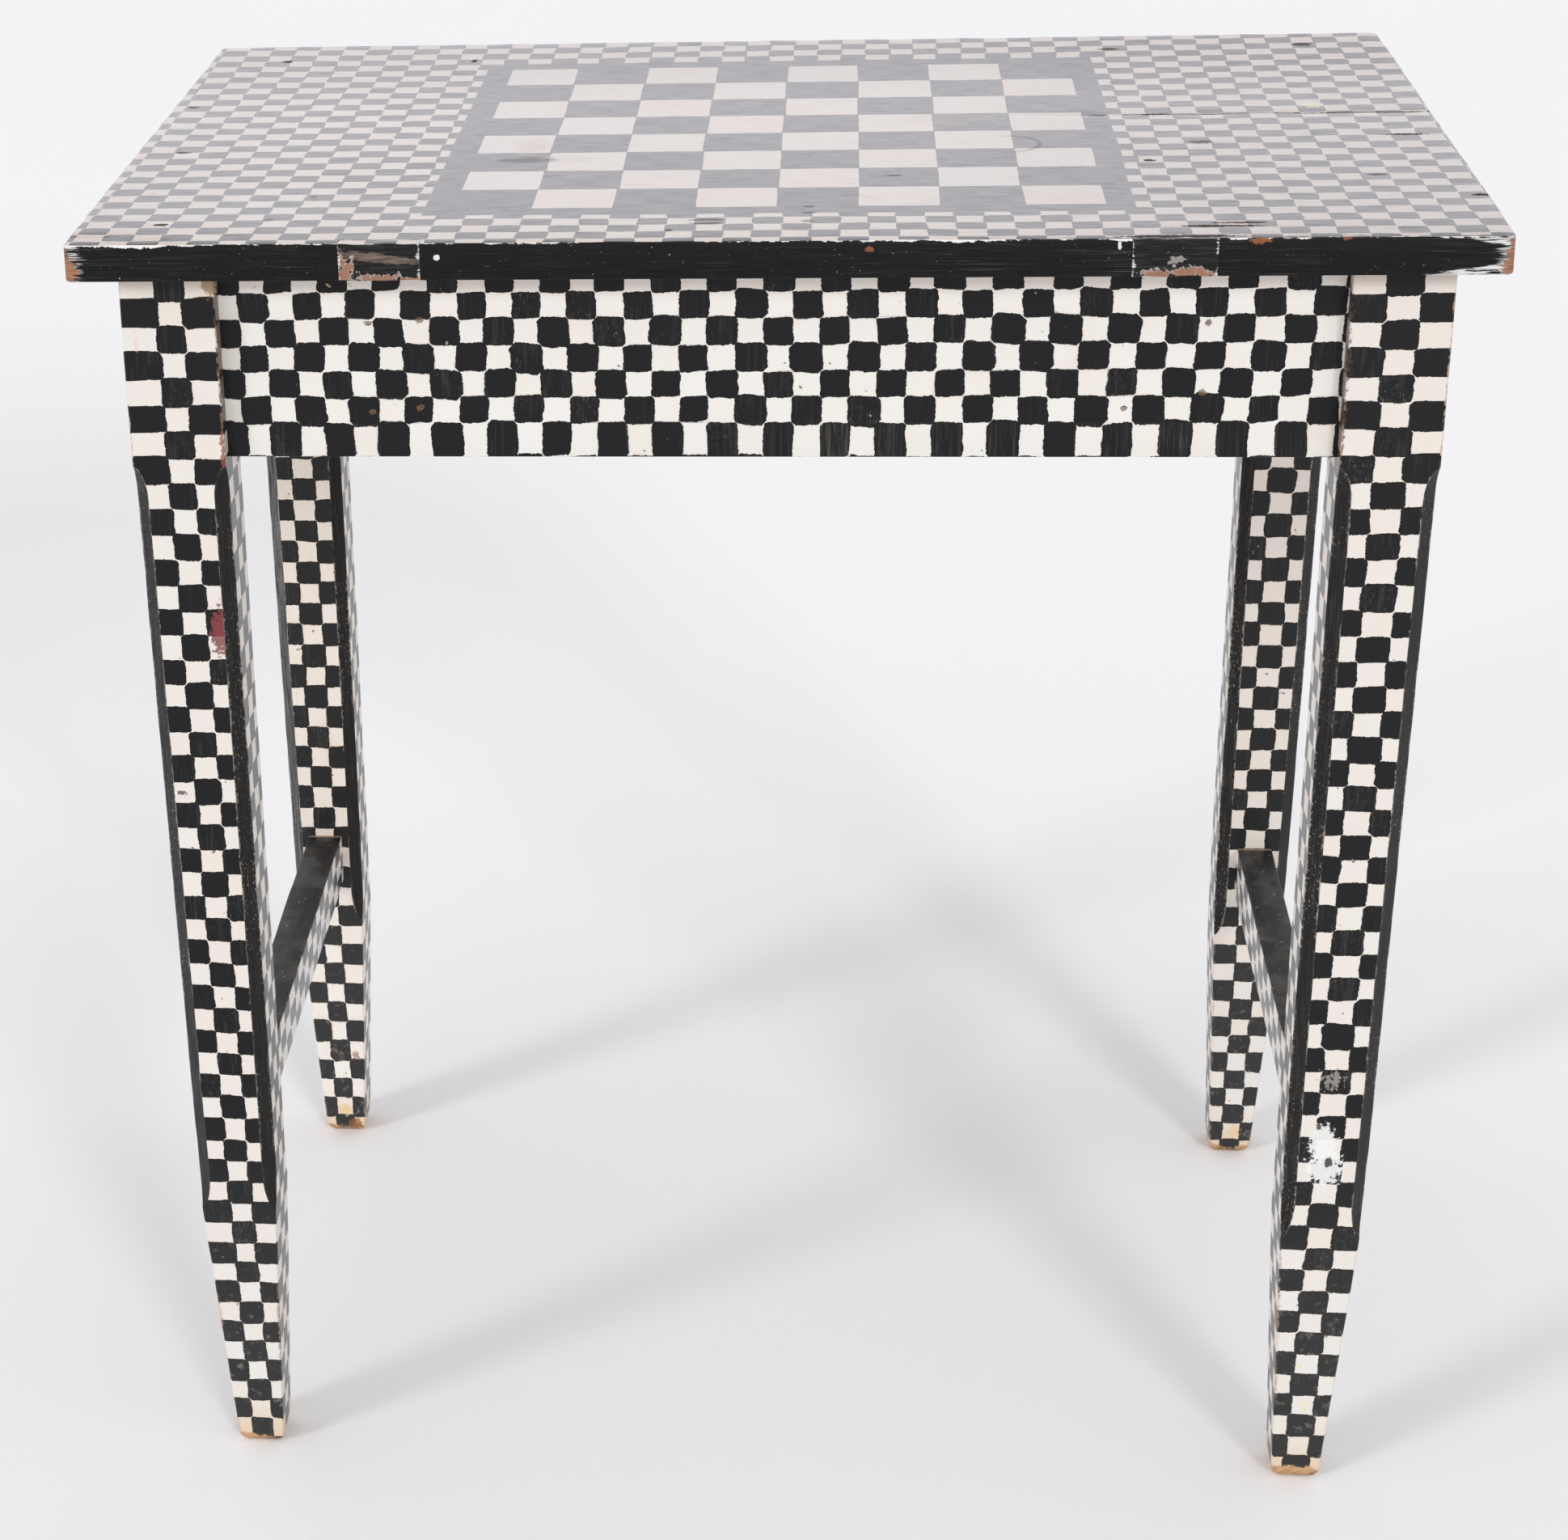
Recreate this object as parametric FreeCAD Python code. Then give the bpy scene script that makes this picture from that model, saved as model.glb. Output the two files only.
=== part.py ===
import FreeCAD, Part
import os

# Small table with a chess board top: four chamfered and tapered legs, four aprons, two side stretchers, and a top of
# two boards that glue blocks and screws hold down. Millimetres, +Z up, front is -Y, origin on the floor at the centre.

Vector = FreeCAD.Vector

# Top
table_height = 740.0
top_width = 702.0
top_depth = 466.0
top_thickness = 19.0
top_overhang = 22.0
top_arris_radius = 1.5
top_corner_radius = 4.0
board_joint_offset = 26.0

# Repair pieces let into the front edge of the top
patch_width = 41.0
patch_depth = 7.0
patch_spacing = 385.0
patch_clearance = 0.15

# Legs
leg_size = 49.0
foot_height = 165.0
shank_taper = 4.0
foot_outer_inset = 15.5
foot_inner_inset = 7.5
foot_arris_radius = 3.0
leg_chamfer = 7.0
chamfer_top_gap = 2.0
chamfer_top_runout = 17.0
chamfer_foot_gap = 3.0
chamfer_foot_runout = 12.0

# Aprons
apron_height = 102.0
apron_thickness = 20.0
apron_recess = 10.0
apron_tenon_thickness = 8.0
apron_tenon_length = 22.0
apron_tenon_top_shoulder = 14.0
apron_tenon_bottom_shoulder = 8.0

# Side stretchers
stretcher_width = 22.0
stretcher_height = 33.0
stretcher_top_height = 231.0
stretcher_tenon_thickness = 8.0
stretcher_tenon_length = 22.0
stretcher_tenon_shoulder = 4.0

# Glue blocks in the angle of apron and top
block_length = 70.0
block_size = 22.0
front_block_spacing = 300.0
block_screw_spacing = 36.0

# Slotted countersunk wood screws
screw_diameter = 4.0
screw_bite = 12.0
screw_tip_length = 4.0
screw_head_diameter = 8.0
screw_head_height = 2.6
screw_slot_width = 1.0
screw_slot_depth = 1.0

# Fits
joint_clearance = 0.2
screw_clearance = 0.1
cut_overrun = 1.0

# How far a chamfer has come in along its run-out: share of the run-out, share of the chamfer
runout_length_shares = (0.12, 0.4, 1.0)
runout_chamfer_shares = (0.3, 0.75, 1.0)

# Places that several pieces share
half = 0.5
frame_top = table_height - top_thickness
apron_bottom = frame_top - apron_height
leg_outer_x = top_width * half - top_overhang
leg_outer_y = top_depth * half - top_overhang
leg_inner_x = leg_outer_x - leg_size
leg_inner_y = leg_outer_y - leg_size
apron_outer_x = leg_outer_x - apron_recess
apron_outer_y = leg_outer_y - apron_recess
apron_inner_x = apron_outer_x - apron_thickness
apron_inner_y = apron_outer_y - apron_thickness
apron_middle_x = apron_outer_x - apron_thickness * half
apron_middle_y = apron_outer_y - apron_thickness * half
apron_tenon_bottom = apron_bottom + apron_tenon_bottom_shoulder
apron_tenon_top = frame_top - apron_tenon_top_shoulder
stretcher_bottom = stretcher_top_height - stretcher_height
screw_radius = screw_diameter * half
screw_length = block_size + screw_bite


def box(low, high):
    """A box between its lowest and highest corners."""
    size = high - low
    return Part.makeBox(size.x, size.y, size.z, low)


def centred_box(centre, size):
    """A box of a given size about its centre."""
    return box(centre - size * half, centre + size * half)


def frustum(lower, upper):
    """A solid between two flat polygons that have the same number of corners."""
    faces = [Part.Face(Part.makePolygon(lower + lower[:1])), Part.Face(Part.makePolygon(upper + upper[:1]))]
    count = len(lower)
    for here in range(count):
        there = (here + 1) % count
        ring = [lower[here], lower[there], upper[there], upper[here], lower[here]]
        faces.append(Part.Face(Part.makePolygon(ring)))
    solid = Part.Solid(Part.Shell(faces))
    if solid.Volume < 0:
        solid.reverse()
    return solid


def fused(shapes):
    """One solid from pieces that touch, without the lines between them."""
    return shapes[0].fuse(shapes[1:]).removeSplitter()


def mirrored(shape, side_x, side_y):
    """A copy of a shape from the right back quarter, in the quarter that the two signs name."""
    if side_x < 0:
        shape = shape.mirror(Vector(), Vector(1, 0, 0))
    if side_y < 0:
        shape = shape.mirror(Vector(), Vector(0, 1, 0))
    return shape


def export(shape, node):
    """Writes one node."""
    shape.exportStep(f"parts/{node}.step")


def leg_insets(z):
    """How far the leg's outer and inner faces have come in at a height."""
    if z >= apron_bottom:
        return 0.0, 0.0
    if z >= foot_height:
        fall = (apron_bottom - z) / (apron_bottom - foot_height)
        return shank_taper * fall, 0.0
    fall = (foot_height - z) / foot_height
    return shank_taper + (foot_outer_inset - shank_taper) * fall, foot_inner_inset * fall


def leg_corner(outer_side_x, outer_side_y, z):
    """A corner of the right back leg at a height."""
    outer, inner = leg_insets(z)
    x = leg_outer_x - outer if outer_side_x else leg_inner_x + inner
    y = leg_outer_y - outer if outer_side_y else leg_inner_y + inner
    return Vector(x, y, z)


def leg_section(z):
    """The leg's four corners at a height, in order round the leg."""
    return [leg_corner(a, b, z) for a, b in ((False, False), (True, False), (True, True), (False, True))]


def chamfer_sections():
    """Heights along a chamfer, from its foot stop to its top stop, with the chamfer's width at each."""
    low = foot_height + chamfer_foot_gap
    high = apron_bottom - chamfer_top_gap
    rising = [(low, 0.0)]
    falling = [(high, 0.0)]
    for length_share, chamfer_share in zip(runout_length_shares, runout_chamfer_shares):
        rising.append((low + chamfer_foot_runout * length_share, leg_chamfer * chamfer_share))
        falling.append((high - chamfer_top_runout * length_share, leg_chamfer * chamfer_share))
    return rising + falling[::-1]


def chamfer_cut(outer_side_x, outer_side_y):
    """What a chamfer takes off one long edge of the leg."""
    out_x = 1.0 if outer_side_x else -1.0
    out_y = 1.0 if outer_side_y else -1.0
    corners = []
    for z, width in chamfer_sections():
        corner = leg_corner(outer_side_x, outer_side_y, z) + Vector(out_x, out_y, 0) * cut_overrun
        reach = width + cut_overrun + cut_overrun
        along_x = corner - Vector(out_x * reach, 0, 0)
        along_y = corner - Vector(0, out_y * reach, 0)
        corners.append([corner, along_x, along_y])
    return fused([frustum(lower, upper) for lower, upper in zip(corners, corners[1:])])


def apron_tenon_along_x(clearance):
    """The tenon of the front and back aprons in the right back leg, or its mortise with a clearance."""
    low = Vector(leg_inner_x - cut_overrun, apron_middle_y - apron_tenon_thickness * half - clearance,
                 apron_tenon_bottom - clearance)
    high = Vector(leg_inner_x + apron_tenon_length + clearance,
                  apron_middle_y + apron_tenon_thickness * half + clearance, apron_tenon_top + clearance)
    return box(low, high)


def apron_tenon_along_y(clearance):
    """The tenon of the side aprons in the right back leg, or its mortise with a clearance."""
    low = Vector(apron_middle_x - apron_tenon_thickness * half - clearance, leg_inner_y - cut_overrun,
                 apron_tenon_bottom - clearance)
    high = Vector(apron_middle_x + apron_tenon_thickness * half + clearance,
                  leg_inner_y + apron_tenon_length + clearance, apron_tenon_top + clearance)
    return box(low, high)


def stretcher_middle():
    """Where a stretcher's middle plane lies: halfway across the leg's flat at the stretcher's height."""
    outer, inner = leg_insets(stretcher_top_height - stretcher_height * half)
    return (leg_outer_x - outer + leg_inner_x + inner) * half


def stretcher_tenon(clearance):
    """The tenon of a stretcher in the right back leg, or its mortise with a clearance."""
    middle = stretcher_middle()
    low = Vector(middle - stretcher_tenon_thickness * half - clearance, leg_inner_y - cut_overrun,
                 stretcher_bottom + stretcher_tenon_shoulder - clearance)
    high = Vector(middle + stretcher_tenon_thickness * half + clearance,
                  leg_inner_y + stretcher_tenon_length + clearance,
                  stretcher_top_height - stretcher_tenon_shoulder + clearance)
    return box(low, high)


def right_back_leg():
    """Square head, shank with four stopped chamfers, tapered foot, and three mortises."""
    heights = (0.0, foot_height, apron_bottom, frame_top)
    sections = [leg_section(z) for z in heights]
    leg = fused([frustum(lower, upper) for lower, upper in zip(sections, sections[1:])])
    foot_edges = [edge for edge in leg.Edges if all(vertex.Z < cut_overrun for vertex in edge.Vertexes)]
    leg = leg.makeFillet(foot_arris_radius, foot_edges)
    for outer_side_x in (False, True):
        for outer_side_y in (False, True):
            leg = leg.cut(chamfer_cut(outer_side_x, outer_side_y))
    mortises = [apron_tenon_along_x(joint_clearance), apron_tenon_along_y(joint_clearance)]
    mortises.append(stretcher_tenon(joint_clearance))
    return leg.cut(mortises)


def long_apron():
    """The back apron with a tenon at each end."""
    board = box(Vector(-leg_inner_x, apron_inner_y, apron_bottom), Vector(leg_inner_x, apron_outer_y, frame_top))
    tenon = apron_tenon_along_x(0.0)
    return fused([board, tenon, mirrored(tenon, -1, 1)])


def side_apron():
    """The right apron with a tenon at each end."""
    board = box(Vector(apron_inner_x, -leg_inner_y, apron_bottom), Vector(apron_outer_x, leg_inner_y, frame_top))
    tenon = apron_tenon_along_y(0.0)
    return fused([board, tenon, mirrored(tenon, 1, -1)])


def right_stretcher():
    """The right stretcher with a tenon at each end."""
    middle = stretcher_middle()
    side = stretcher_width * half
    bar = box(Vector(middle - side, -leg_inner_y, stretcher_bottom),
              Vector(middle + side, leg_inner_y, stretcher_top_height))
    tenon = stretcher_tenon(0.0)
    return fused([bar, tenon, mirrored(tenon, 1, -1)])


def screw():
    """A wood screw with its slot up and its point down: the head's flat is at the origin."""
    head = Part.makeCone(screw_radius, screw_head_diameter * half, screw_head_height,
                         Vector(0, 0, -screw_head_height))
    shank_length = screw_length - screw_tip_length
    shank = Part.makeCylinder(screw_radius, shank_length, Vector(0, 0, -shank_length))
    tip = Part.makeCone(0.0, screw_radius, screw_tip_length, Vector(0, 0, -screw_length))
    slot = box(Vector(-screw_head_diameter, -screw_slot_width * half, -screw_slot_depth),
               Vector(screw_head_diameter, screw_slot_width * half, cut_overrun))
    return fused([head, shank, tip]).cut(slot)


def screw_hole():
    """The countersunk hole that a screw needs, a little wider and longer all over."""
    radius = screw_radius + screw_clearance
    head_radius = screw_head_diameter * half + screw_clearance
    head = Part.makeCone(radius, head_radius, screw_head_height, Vector(0, 0, -screw_head_height))
    mouth = Part.makeCylinder(head_radius, cut_overrun)
    shank_length = screw_length + screw_clearance
    shank = Part.makeCylinder(radius, shank_length, Vector(0, 0, -shank_length))
    return fused([head, mouth, shank])


def placed_screw(shape, head, point_direction):
    """A screw or its hole with its head at a point and its tip towards a direction."""
    turn = FreeCAD.Rotation(Vector(0, 0, -1), point_direction)
    copy = shape.copy()
    copy.Placement = FreeCAD.Placement(head, turn)
    return copy


class GlueBlock:
    """A block in the angle of an apron and the top, with one screw into each of them."""

    def __init__(self, apron, outward, along, middle):
        self.apron = apron
        self.outward = outward
        self.along = along
        self.centre = middle - outward * (block_size * half)
        self.centre.z = frame_top - block_size * half
        self.up = Vector(0, 0, 1)

    def solid(self):
        """The block with its two countersunk holes."""
        across = Vector(abs(self.outward.x), abs(self.outward.y), 1) * block_size
        size = across + self.along * block_length
        hole = screw_hole()
        return centred_box(self.centre, size).cut([self.at_top(hole), self.at_apron(hole)])

    def at_top(self, shape):
        """A screw or hole that runs up into the top."""
        head = self.centre + self.along * (block_screw_spacing * half) - self.up * (block_size * half)
        return placed_screw(shape, head, self.up)

    def at_apron(self, shape):
        """A screw or hole that runs out into the apron."""
        head = self.centre - self.along * (block_screw_spacing * half) - self.outward * (block_size * half)
        return placed_screw(shape, head, self.outward)


def glue_blocks():
    """The six glue blocks by name."""
    along_x = Vector(1, 0, 0)
    along_y = Vector(0, 1, 0)
    blocks = {}
    for end, side_y in (("front", -1.0), ("back", 1.0)):
        for hand, side_x in (("left", -1.0), ("right", 1.0)):
            middle = Vector(side_x * front_block_spacing * half, side_y * apron_inner_y, 0)
            blocks[f"{end}_{hand}"] = GlueBlock(f"apron_{end}", along_y * side_y, along_x, middle)
    for hand, side_x in (("left", -1.0), ("right", 1.0)):
        middle = Vector(side_x * apron_inner_x, 0, 0)
        blocks[hand] = GlueBlock(f"apron_{hand}", along_x * side_x, along_y, middle)
    return blocks


def top_slab():
    """The whole top with its rounded corners and arrises, before it is divided."""
    slab = box(Vector(-top_width * half, -top_depth * half, frame_top),
               Vector(top_width * half, top_depth * half, table_height))
    upright = [edge for edge in slab.Edges if edge.BoundBox.ZLength > top_thickness * half]
    slab = slab.makeFillet(top_corner_radius, upright)
    level = [edge for edge in slab.Edges if edge.BoundBox.ZLength < top_thickness * half]
    return slab.makeFillet(top_arris_radius, level)


def patch_box(side_x, clearance):
    """The place of a repair piece in the front edge, or the piece itself with a clearance off each joint."""
    middle = side_x * patch_spacing * half
    front = -top_depth * half
    low = Vector(middle - patch_width * half + clearance, front - cut_overrun, frame_top - cut_overrun)
    high = Vector(middle + patch_width * half - clearance, front + patch_depth - clearance,
                  table_height + cut_overrun)
    return box(low, high)


def build_top(blocks):
    """The two boards and the two repair pieces."""
    slab = top_slab()
    low = Vector(-top_width, -top_depth, 0)
    high = Vector(top_width, top_depth, table_height + cut_overrun)
    back = slab.common(box(Vector(low.x, board_joint_offset, low.z), high))
    front = slab.common(box(low, Vector(high.x, board_joint_offset, high.z)))
    front = front.cut([patch_box(side, 0.0) for side in (-1.0, 1.0)])
    hole = screw_hole()
    pilots = [block.at_top(hole) for block in blocks.values()]
    export(back.cut(pilots), "top_board_back")
    export(front.cut(pilots), "top_board_front")
    for hand, side in (("left", -1.0), ("right", 1.0)):
        export(slab.common(patch_box(side, patch_clearance)), f"edge_patch_{hand}")


def build_legs():
    """The four legs, each a mirror image of the right back one."""
    leg = right_back_leg()
    for end, side_y in (("front", -1), ("back", 1)):
        for hand, side_x in (("left", -1), ("right", 1)):
            export(mirrored(leg, side_x, side_y), f"leg_{end}_{hand}")


def build_rails(blocks):
    """The four aprons, with the pilot holes of their glue blocks, and the two stretchers."""
    back = long_apron()
    right = side_apron()
    aprons = {"apron_back": back, "apron_front": mirrored(back, 1, -1)}
    aprons["apron_right"] = right
    aprons["apron_left"] = mirrored(right, -1, 1)
    hole = screw_hole()
    for node, apron in aprons.items():
        pilots = [block.at_apron(hole) for block in blocks.values() if block.apron == node]
        export(apron.cut(pilots), node)
    stretcher = right_stretcher()
    export(stretcher, "stretcher_right")
    export(mirrored(stretcher, -1, 1), "stretcher_left")


def build_fixings(blocks):
    """The glue blocks and the two groups of screws."""
    for name, block in blocks.items():
        export(block.solid(), f"glue_block_{name}")
    one = screw()
    export(Part.makeCompound([block.at_top(one) for block in blocks.values()]), "top_screws")
    export(Part.makeCompound([block.at_apron(one) for block in blocks.values()]), "apron_screws")


os.makedirs("parts", exist_ok=True)
glue_block_set = glue_blocks()
build_top(glue_block_set)
build_legs()
build_rails(glue_block_set)
build_fixings(glue_block_set)
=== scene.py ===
"""Looks of a small painted chess table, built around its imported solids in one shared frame.

Lengths are metres, as in the frame. Paint is laid out in millimetres, and names that end in _mm say so.
"""
import logging
import math
from dataclasses import dataclass, field, replace
from enum import Enum
from typing import Callable, Dict, List, Optional, Sequence, Tuple, Union

import bmesh
import bpy
from mathutils import Matrix, Vector, noise


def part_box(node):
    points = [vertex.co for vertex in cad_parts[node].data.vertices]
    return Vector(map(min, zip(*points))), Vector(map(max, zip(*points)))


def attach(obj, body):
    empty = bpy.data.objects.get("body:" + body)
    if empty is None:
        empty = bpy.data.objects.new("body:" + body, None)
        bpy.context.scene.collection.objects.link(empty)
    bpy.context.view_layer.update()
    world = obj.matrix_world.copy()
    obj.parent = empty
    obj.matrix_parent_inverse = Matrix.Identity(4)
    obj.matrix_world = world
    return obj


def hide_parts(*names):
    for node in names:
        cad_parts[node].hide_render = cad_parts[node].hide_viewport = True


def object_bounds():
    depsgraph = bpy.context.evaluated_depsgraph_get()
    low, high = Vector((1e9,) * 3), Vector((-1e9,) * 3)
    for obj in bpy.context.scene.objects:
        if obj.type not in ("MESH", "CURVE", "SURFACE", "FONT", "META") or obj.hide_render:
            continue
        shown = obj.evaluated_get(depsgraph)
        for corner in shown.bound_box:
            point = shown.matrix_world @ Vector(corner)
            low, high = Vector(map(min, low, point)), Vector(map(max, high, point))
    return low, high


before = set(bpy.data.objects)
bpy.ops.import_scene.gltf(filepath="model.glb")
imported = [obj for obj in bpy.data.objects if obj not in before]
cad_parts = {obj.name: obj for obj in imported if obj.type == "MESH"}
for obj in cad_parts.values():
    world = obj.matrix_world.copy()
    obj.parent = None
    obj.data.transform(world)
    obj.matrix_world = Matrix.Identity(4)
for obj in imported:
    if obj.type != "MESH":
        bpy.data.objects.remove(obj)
CAD_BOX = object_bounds()

LOG = logging.getLogger("chess_table")
BODY = "root"
HANDS = ("left", "right")
MM = 0.001
CLOSE = 0.1 * MM
TENON = 0.022
FLAT = math.radians(35.0)
MARK_DEPTH_MM = 3.0
HALF_WIDTH_MM, HALF_DEPTH_MM, TOP_MM = (round(reach / MM, 2) for reach in CAD_BOX[1])

Colour = Tuple[float, float, float]
Place = Tuple[float, float, float]
Span = Tuple[float, float]
Socket = bpy.types.NodeSocket
Material = bpy.types.Material
Mesh = bmesh.types.BMesh
Amount = Union["Value", float]
Input = Union["Value", Socket, float, Sequence[float]]
Key = Union[int, str]
Inputs = Dict[Key, Input]
Settings = Dict[str, object]


class Axis(Enum):
    """An axis of the frame."""

    X = 0
    Y = 1
    Z = 2


class Tone(Enum):
    """How far the cream paint of a leg has yellowed."""

    FRESH = 0.2
    MELLOW = 0.4
    AGED = 0.8


# Shader values and nodes


def operator(operation: str, swapped: bool = False) -> Callable[..., "Value"]:
    """Makes a method that puts a value through one Math node.

    Args:
        operation: The Math node's operation.
        swapped: Whether the value comes after the other amount, as in a reflected form.

    Returns:
        The method.
    """
    def apply(value: "Value", *others: Amount) -> "Value":
        """Adds the Math node."""
        terms = (*others, value) if swapped else (value, *others)
        return value.tree.math(operation, *terms)
    return apply


class Value:
    """A number that varies over a surface: one socket, with arithmetic that adds Math nodes."""

    def __init__(self, tree: "NodeTree", socket: Socket) -> None:
        """Wraps a socket of a node tree."""
        self.tree = tree
        self.socket = socket

    __add__ = __radd__ = operator("ADD")
    __mul__ = __rmul__ = operator("MULTIPLY")
    __sub__, __rsub__ = operator("SUBTRACT"), operator("SUBTRACT", swapped=True)
    __truediv__, __rtruediv__ = operator("DIVIDE"), operator("DIVIDE", swapped=True)
    __pow__ = operator("POWER")
    __abs__ = operator("ABSOLUTE")
    rounded = operator("ROUND")
    at_least = operator("MAXIMUM")
    at_most = operator("MINIMUM")

    def rise(self, low: float, high: float) -> "Value":
        """A smooth step from 0 at low to 1 at high, or falling where low is the larger."""
        inputs = {"Value": self, "From Min": low, "From Max": high}
        return self.tree.value("ShaderNodeMapRange", {"interpolation_type": "SMOOTHSTEP"}, inputs)


class NodeTree:
    """The shader nodes of a material or of the surroundings."""

    def __init__(self, tree: bpy.types.NodeTree) -> None:
        """Starts from an emptied node tree."""
        self.tree = tree
        tree.nodes.clear()

    def node(self, kind: str, settings: Settings, inputs: Inputs) -> bpy.types.Node:
        """Adds one node.

        Args:
            kind: The node's type name.
            settings: Its properties, which are set first.
            inputs: Values or links by socket name or number.

        Returns:
            The new node.
        """
        made = self.tree.nodes.new(kind)
        for name, setting in settings.items():
            setattr(made, name, setting)
        for key, given in inputs.items():
            socket = made.inputs[key]
            source = given.socket if isinstance(given, Value) else given
            if isinstance(source, Socket):
                self.tree.links.new(source, socket)
            else:
                socket.default_value = (*source, 1.0) if socket.type == "RGBA" else source
        return made

    def value(self, kind: str, settings: Settings, inputs: Inputs, output: Key = 0) -> Value:
        """Adds one node and gives one of its outputs as a value."""
        return Value(self, self.node(kind, settings, inputs).outputs[output])

    def math(self, operation: str, *terms: Input) -> Value:
        """A Math node on one or two amounts."""
        return self.value("ShaderNodeMath", {"operation": operation}, dict(enumerate(terms)))


class Recipe(NodeTree):
    """One material under construction, from coordinates to its surface shader."""

    MIX_SHARE, MIX_FIRST, MIX_SECOND, MIX_RESULT = 0, 6, 7, 2

    def __init__(self, name: str) -> None:
        """Starts an empty material.

        Args:
            name: The material's name.
        """
        self.material = bpy.data.materials.new(name)
        self.material.use_nodes = True
        super().__init__(self.material.node_tree)
        self.place = self.node("ShaderNodeTexCoord", {}, {}).outputs["Object"]

    def parts(self, vector: Socket) -> List[Value]:
        """The three parts of a vector or colour."""
        return [Value(self, part) for part in self.node("ShaderNodeSeparateXYZ", {}, {0: vector}).outputs]

    def vector(self, x: Amount, y: Amount, z: Amount = 0.0) -> Socket:
        """A vector from three amounts."""
        return self.node("ShaderNodeCombineXYZ", {}, {0: x, 1: y, 2: z}).outputs[0]

    def millimetres(self) -> List[Value]:
        """The place on the object in millimetres."""
        inputs = {"Vector": self.place, "Scale": 1.0 / MM}
        return self.parts(self.node("ShaderNodeVectorMath", {"operation": "SCALE"}, inputs).outputs[0])

    def drawn_on(self, layer: str) -> List[Value]:
        """The two coordinates of one of the piece's own UV maps."""
        return self.parts(self.node("ShaderNodeUVMap", {"uv_map": layer}, {}).outputs[0])[:2]

    def noise(self, scale: float, detail: float = 2.0, rough: float = 0.5,
              at: Optional[Socket] = None) -> Value:
        """Soft noise between 0 and 1, by its features per unit, octaves and weight of the finer octaves."""
        return Value(self, self._noise(scale, detail, rough, at).outputs[0])

    def noise_pair(self, scale: float, detail: float = 1.0,
                   at: Optional[Socket] = None) -> Tuple[Value, Value]:
        """Two unlike soft noises about 0, for moving a place sideways."""
        first, second, _ = self.parts(self._noise(scale, detail, 0.5, at).outputs[1])
        return first - 0.5, second - 0.5

    def _noise(self, scale: float, detail: float, rough: float, at: Optional[Socket]) -> bpy.types.Node:
        """A noise node, on the place on the object unless another place is given."""
        place = self.place if at is None else at
        return self.node("ShaderNodeTexNoise", {"noise_dimensions": "3D"},
                         {"Vector": place, "Scale": scale, "Detail": detail, "Roughness": rough})

    def streaks(self, x: Amount, y: Amount, z: Amount = 0.0, detail: float = 4.0,
                rough: float = 0.65) -> Value:
        """Soft noise on a place that is stretched by hand, as brush strokes and grain are."""
        return self.noise(1.0, detail, rough, self.vector(x, y, z))

    def grazing(self) -> Value:
        """How nearly edge-on a surface is seen, from 0 face-on to 1 edge-on."""
        return self.value("ShaderNodeLayerWeight", {}, {"Blend": 0.5}, "Facing")

    def chances(self, column: Amount, row: Amount, seed: float) -> List[Value]:
        """Three steady random numbers for each whole column and row."""
        inputs = {"Vector": self.vector(column, row, seed)}
        return self.parts(self.node("ShaderNodeTexWhiteNoise", {"noise_dimensions": "3D"}, inputs).outputs[1])

    def mix(self, share: Amount, first: Input, second: Input) -> Socket:
        """A colour between two colours, by how much of the second one shows."""
        inputs = {self.MIX_SHARE: share, self.MIX_FIRST: first, self.MIX_SECOND: second}
        return self.node("ShaderNodeMix", {"data_type": "RGBA"}, inputs).outputs[self.MIX_RESULT]

    def near(self, centre_mm: Place, radii_mm: Place) -> Value:
        """How far a place is from a centre, in radii of an ellipsoid.

        Args:
            centre_mm: The centre in millimetres.
            radii_mm: The ellipsoid's radii in millimetres.

        Returns:
            The distance, 1 on the ellipsoid.
        """
        scale = tuple(1.0 / (radius * MM) for radius in radii_mm)
        offset = tuple(-here * MM * by for here, by in zip(centre_mm, scale))
        inputs = {0: self.place, 1: scale, 2: offset}
        moved = self.node("ShaderNodeVectorMath", {"operation": "MULTIPLY_ADD"}, inputs).outputs[0]
        return self.value("ShaderNodeVectorMath", {"operation": "LENGTH"}, {0: moved}, "Value")

    def finish(self, inputs: Inputs, height: Optional[Value] = None, depth: float = 0.0,
               others: Sequence[Tuple[Value, Inputs]] = ()) -> Material:
        """Adds the surface shader and ends the material.

        Args:
            inputs: The shader's sockets by name.
            height: A height between 0 and 1 for a Bump node.
            depth: What a height of 1 measures, in metres.
            others: Surfaces that take its place, each with its share and its sockets.

        Returns:
            The finished material.
        """
        normal = {}
        if height is not None:
            bump = self.node("ShaderNodeBump", {}, {"Strength": 1.0, "Distance": depth, "Height": height})
            normal = {"Normal": bump.outputs[0]}
        surface = self.node("ShaderNodeBsdfPrincipled", {}, {**inputs, **normal}).outputs[0]
        for share, other in others:
            above = self.node("ShaderNodeBsdfPrincipled", {}, {**other, **normal}).outputs[0]
            surface = self.node("ShaderNodeMixShader", {}, {0: share, 1: surface, 2: above}).outputs[0]
        self.node("ShaderNodeOutputMaterial", {}, {"Surface": surface})
        return self.material


# Paint


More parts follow.
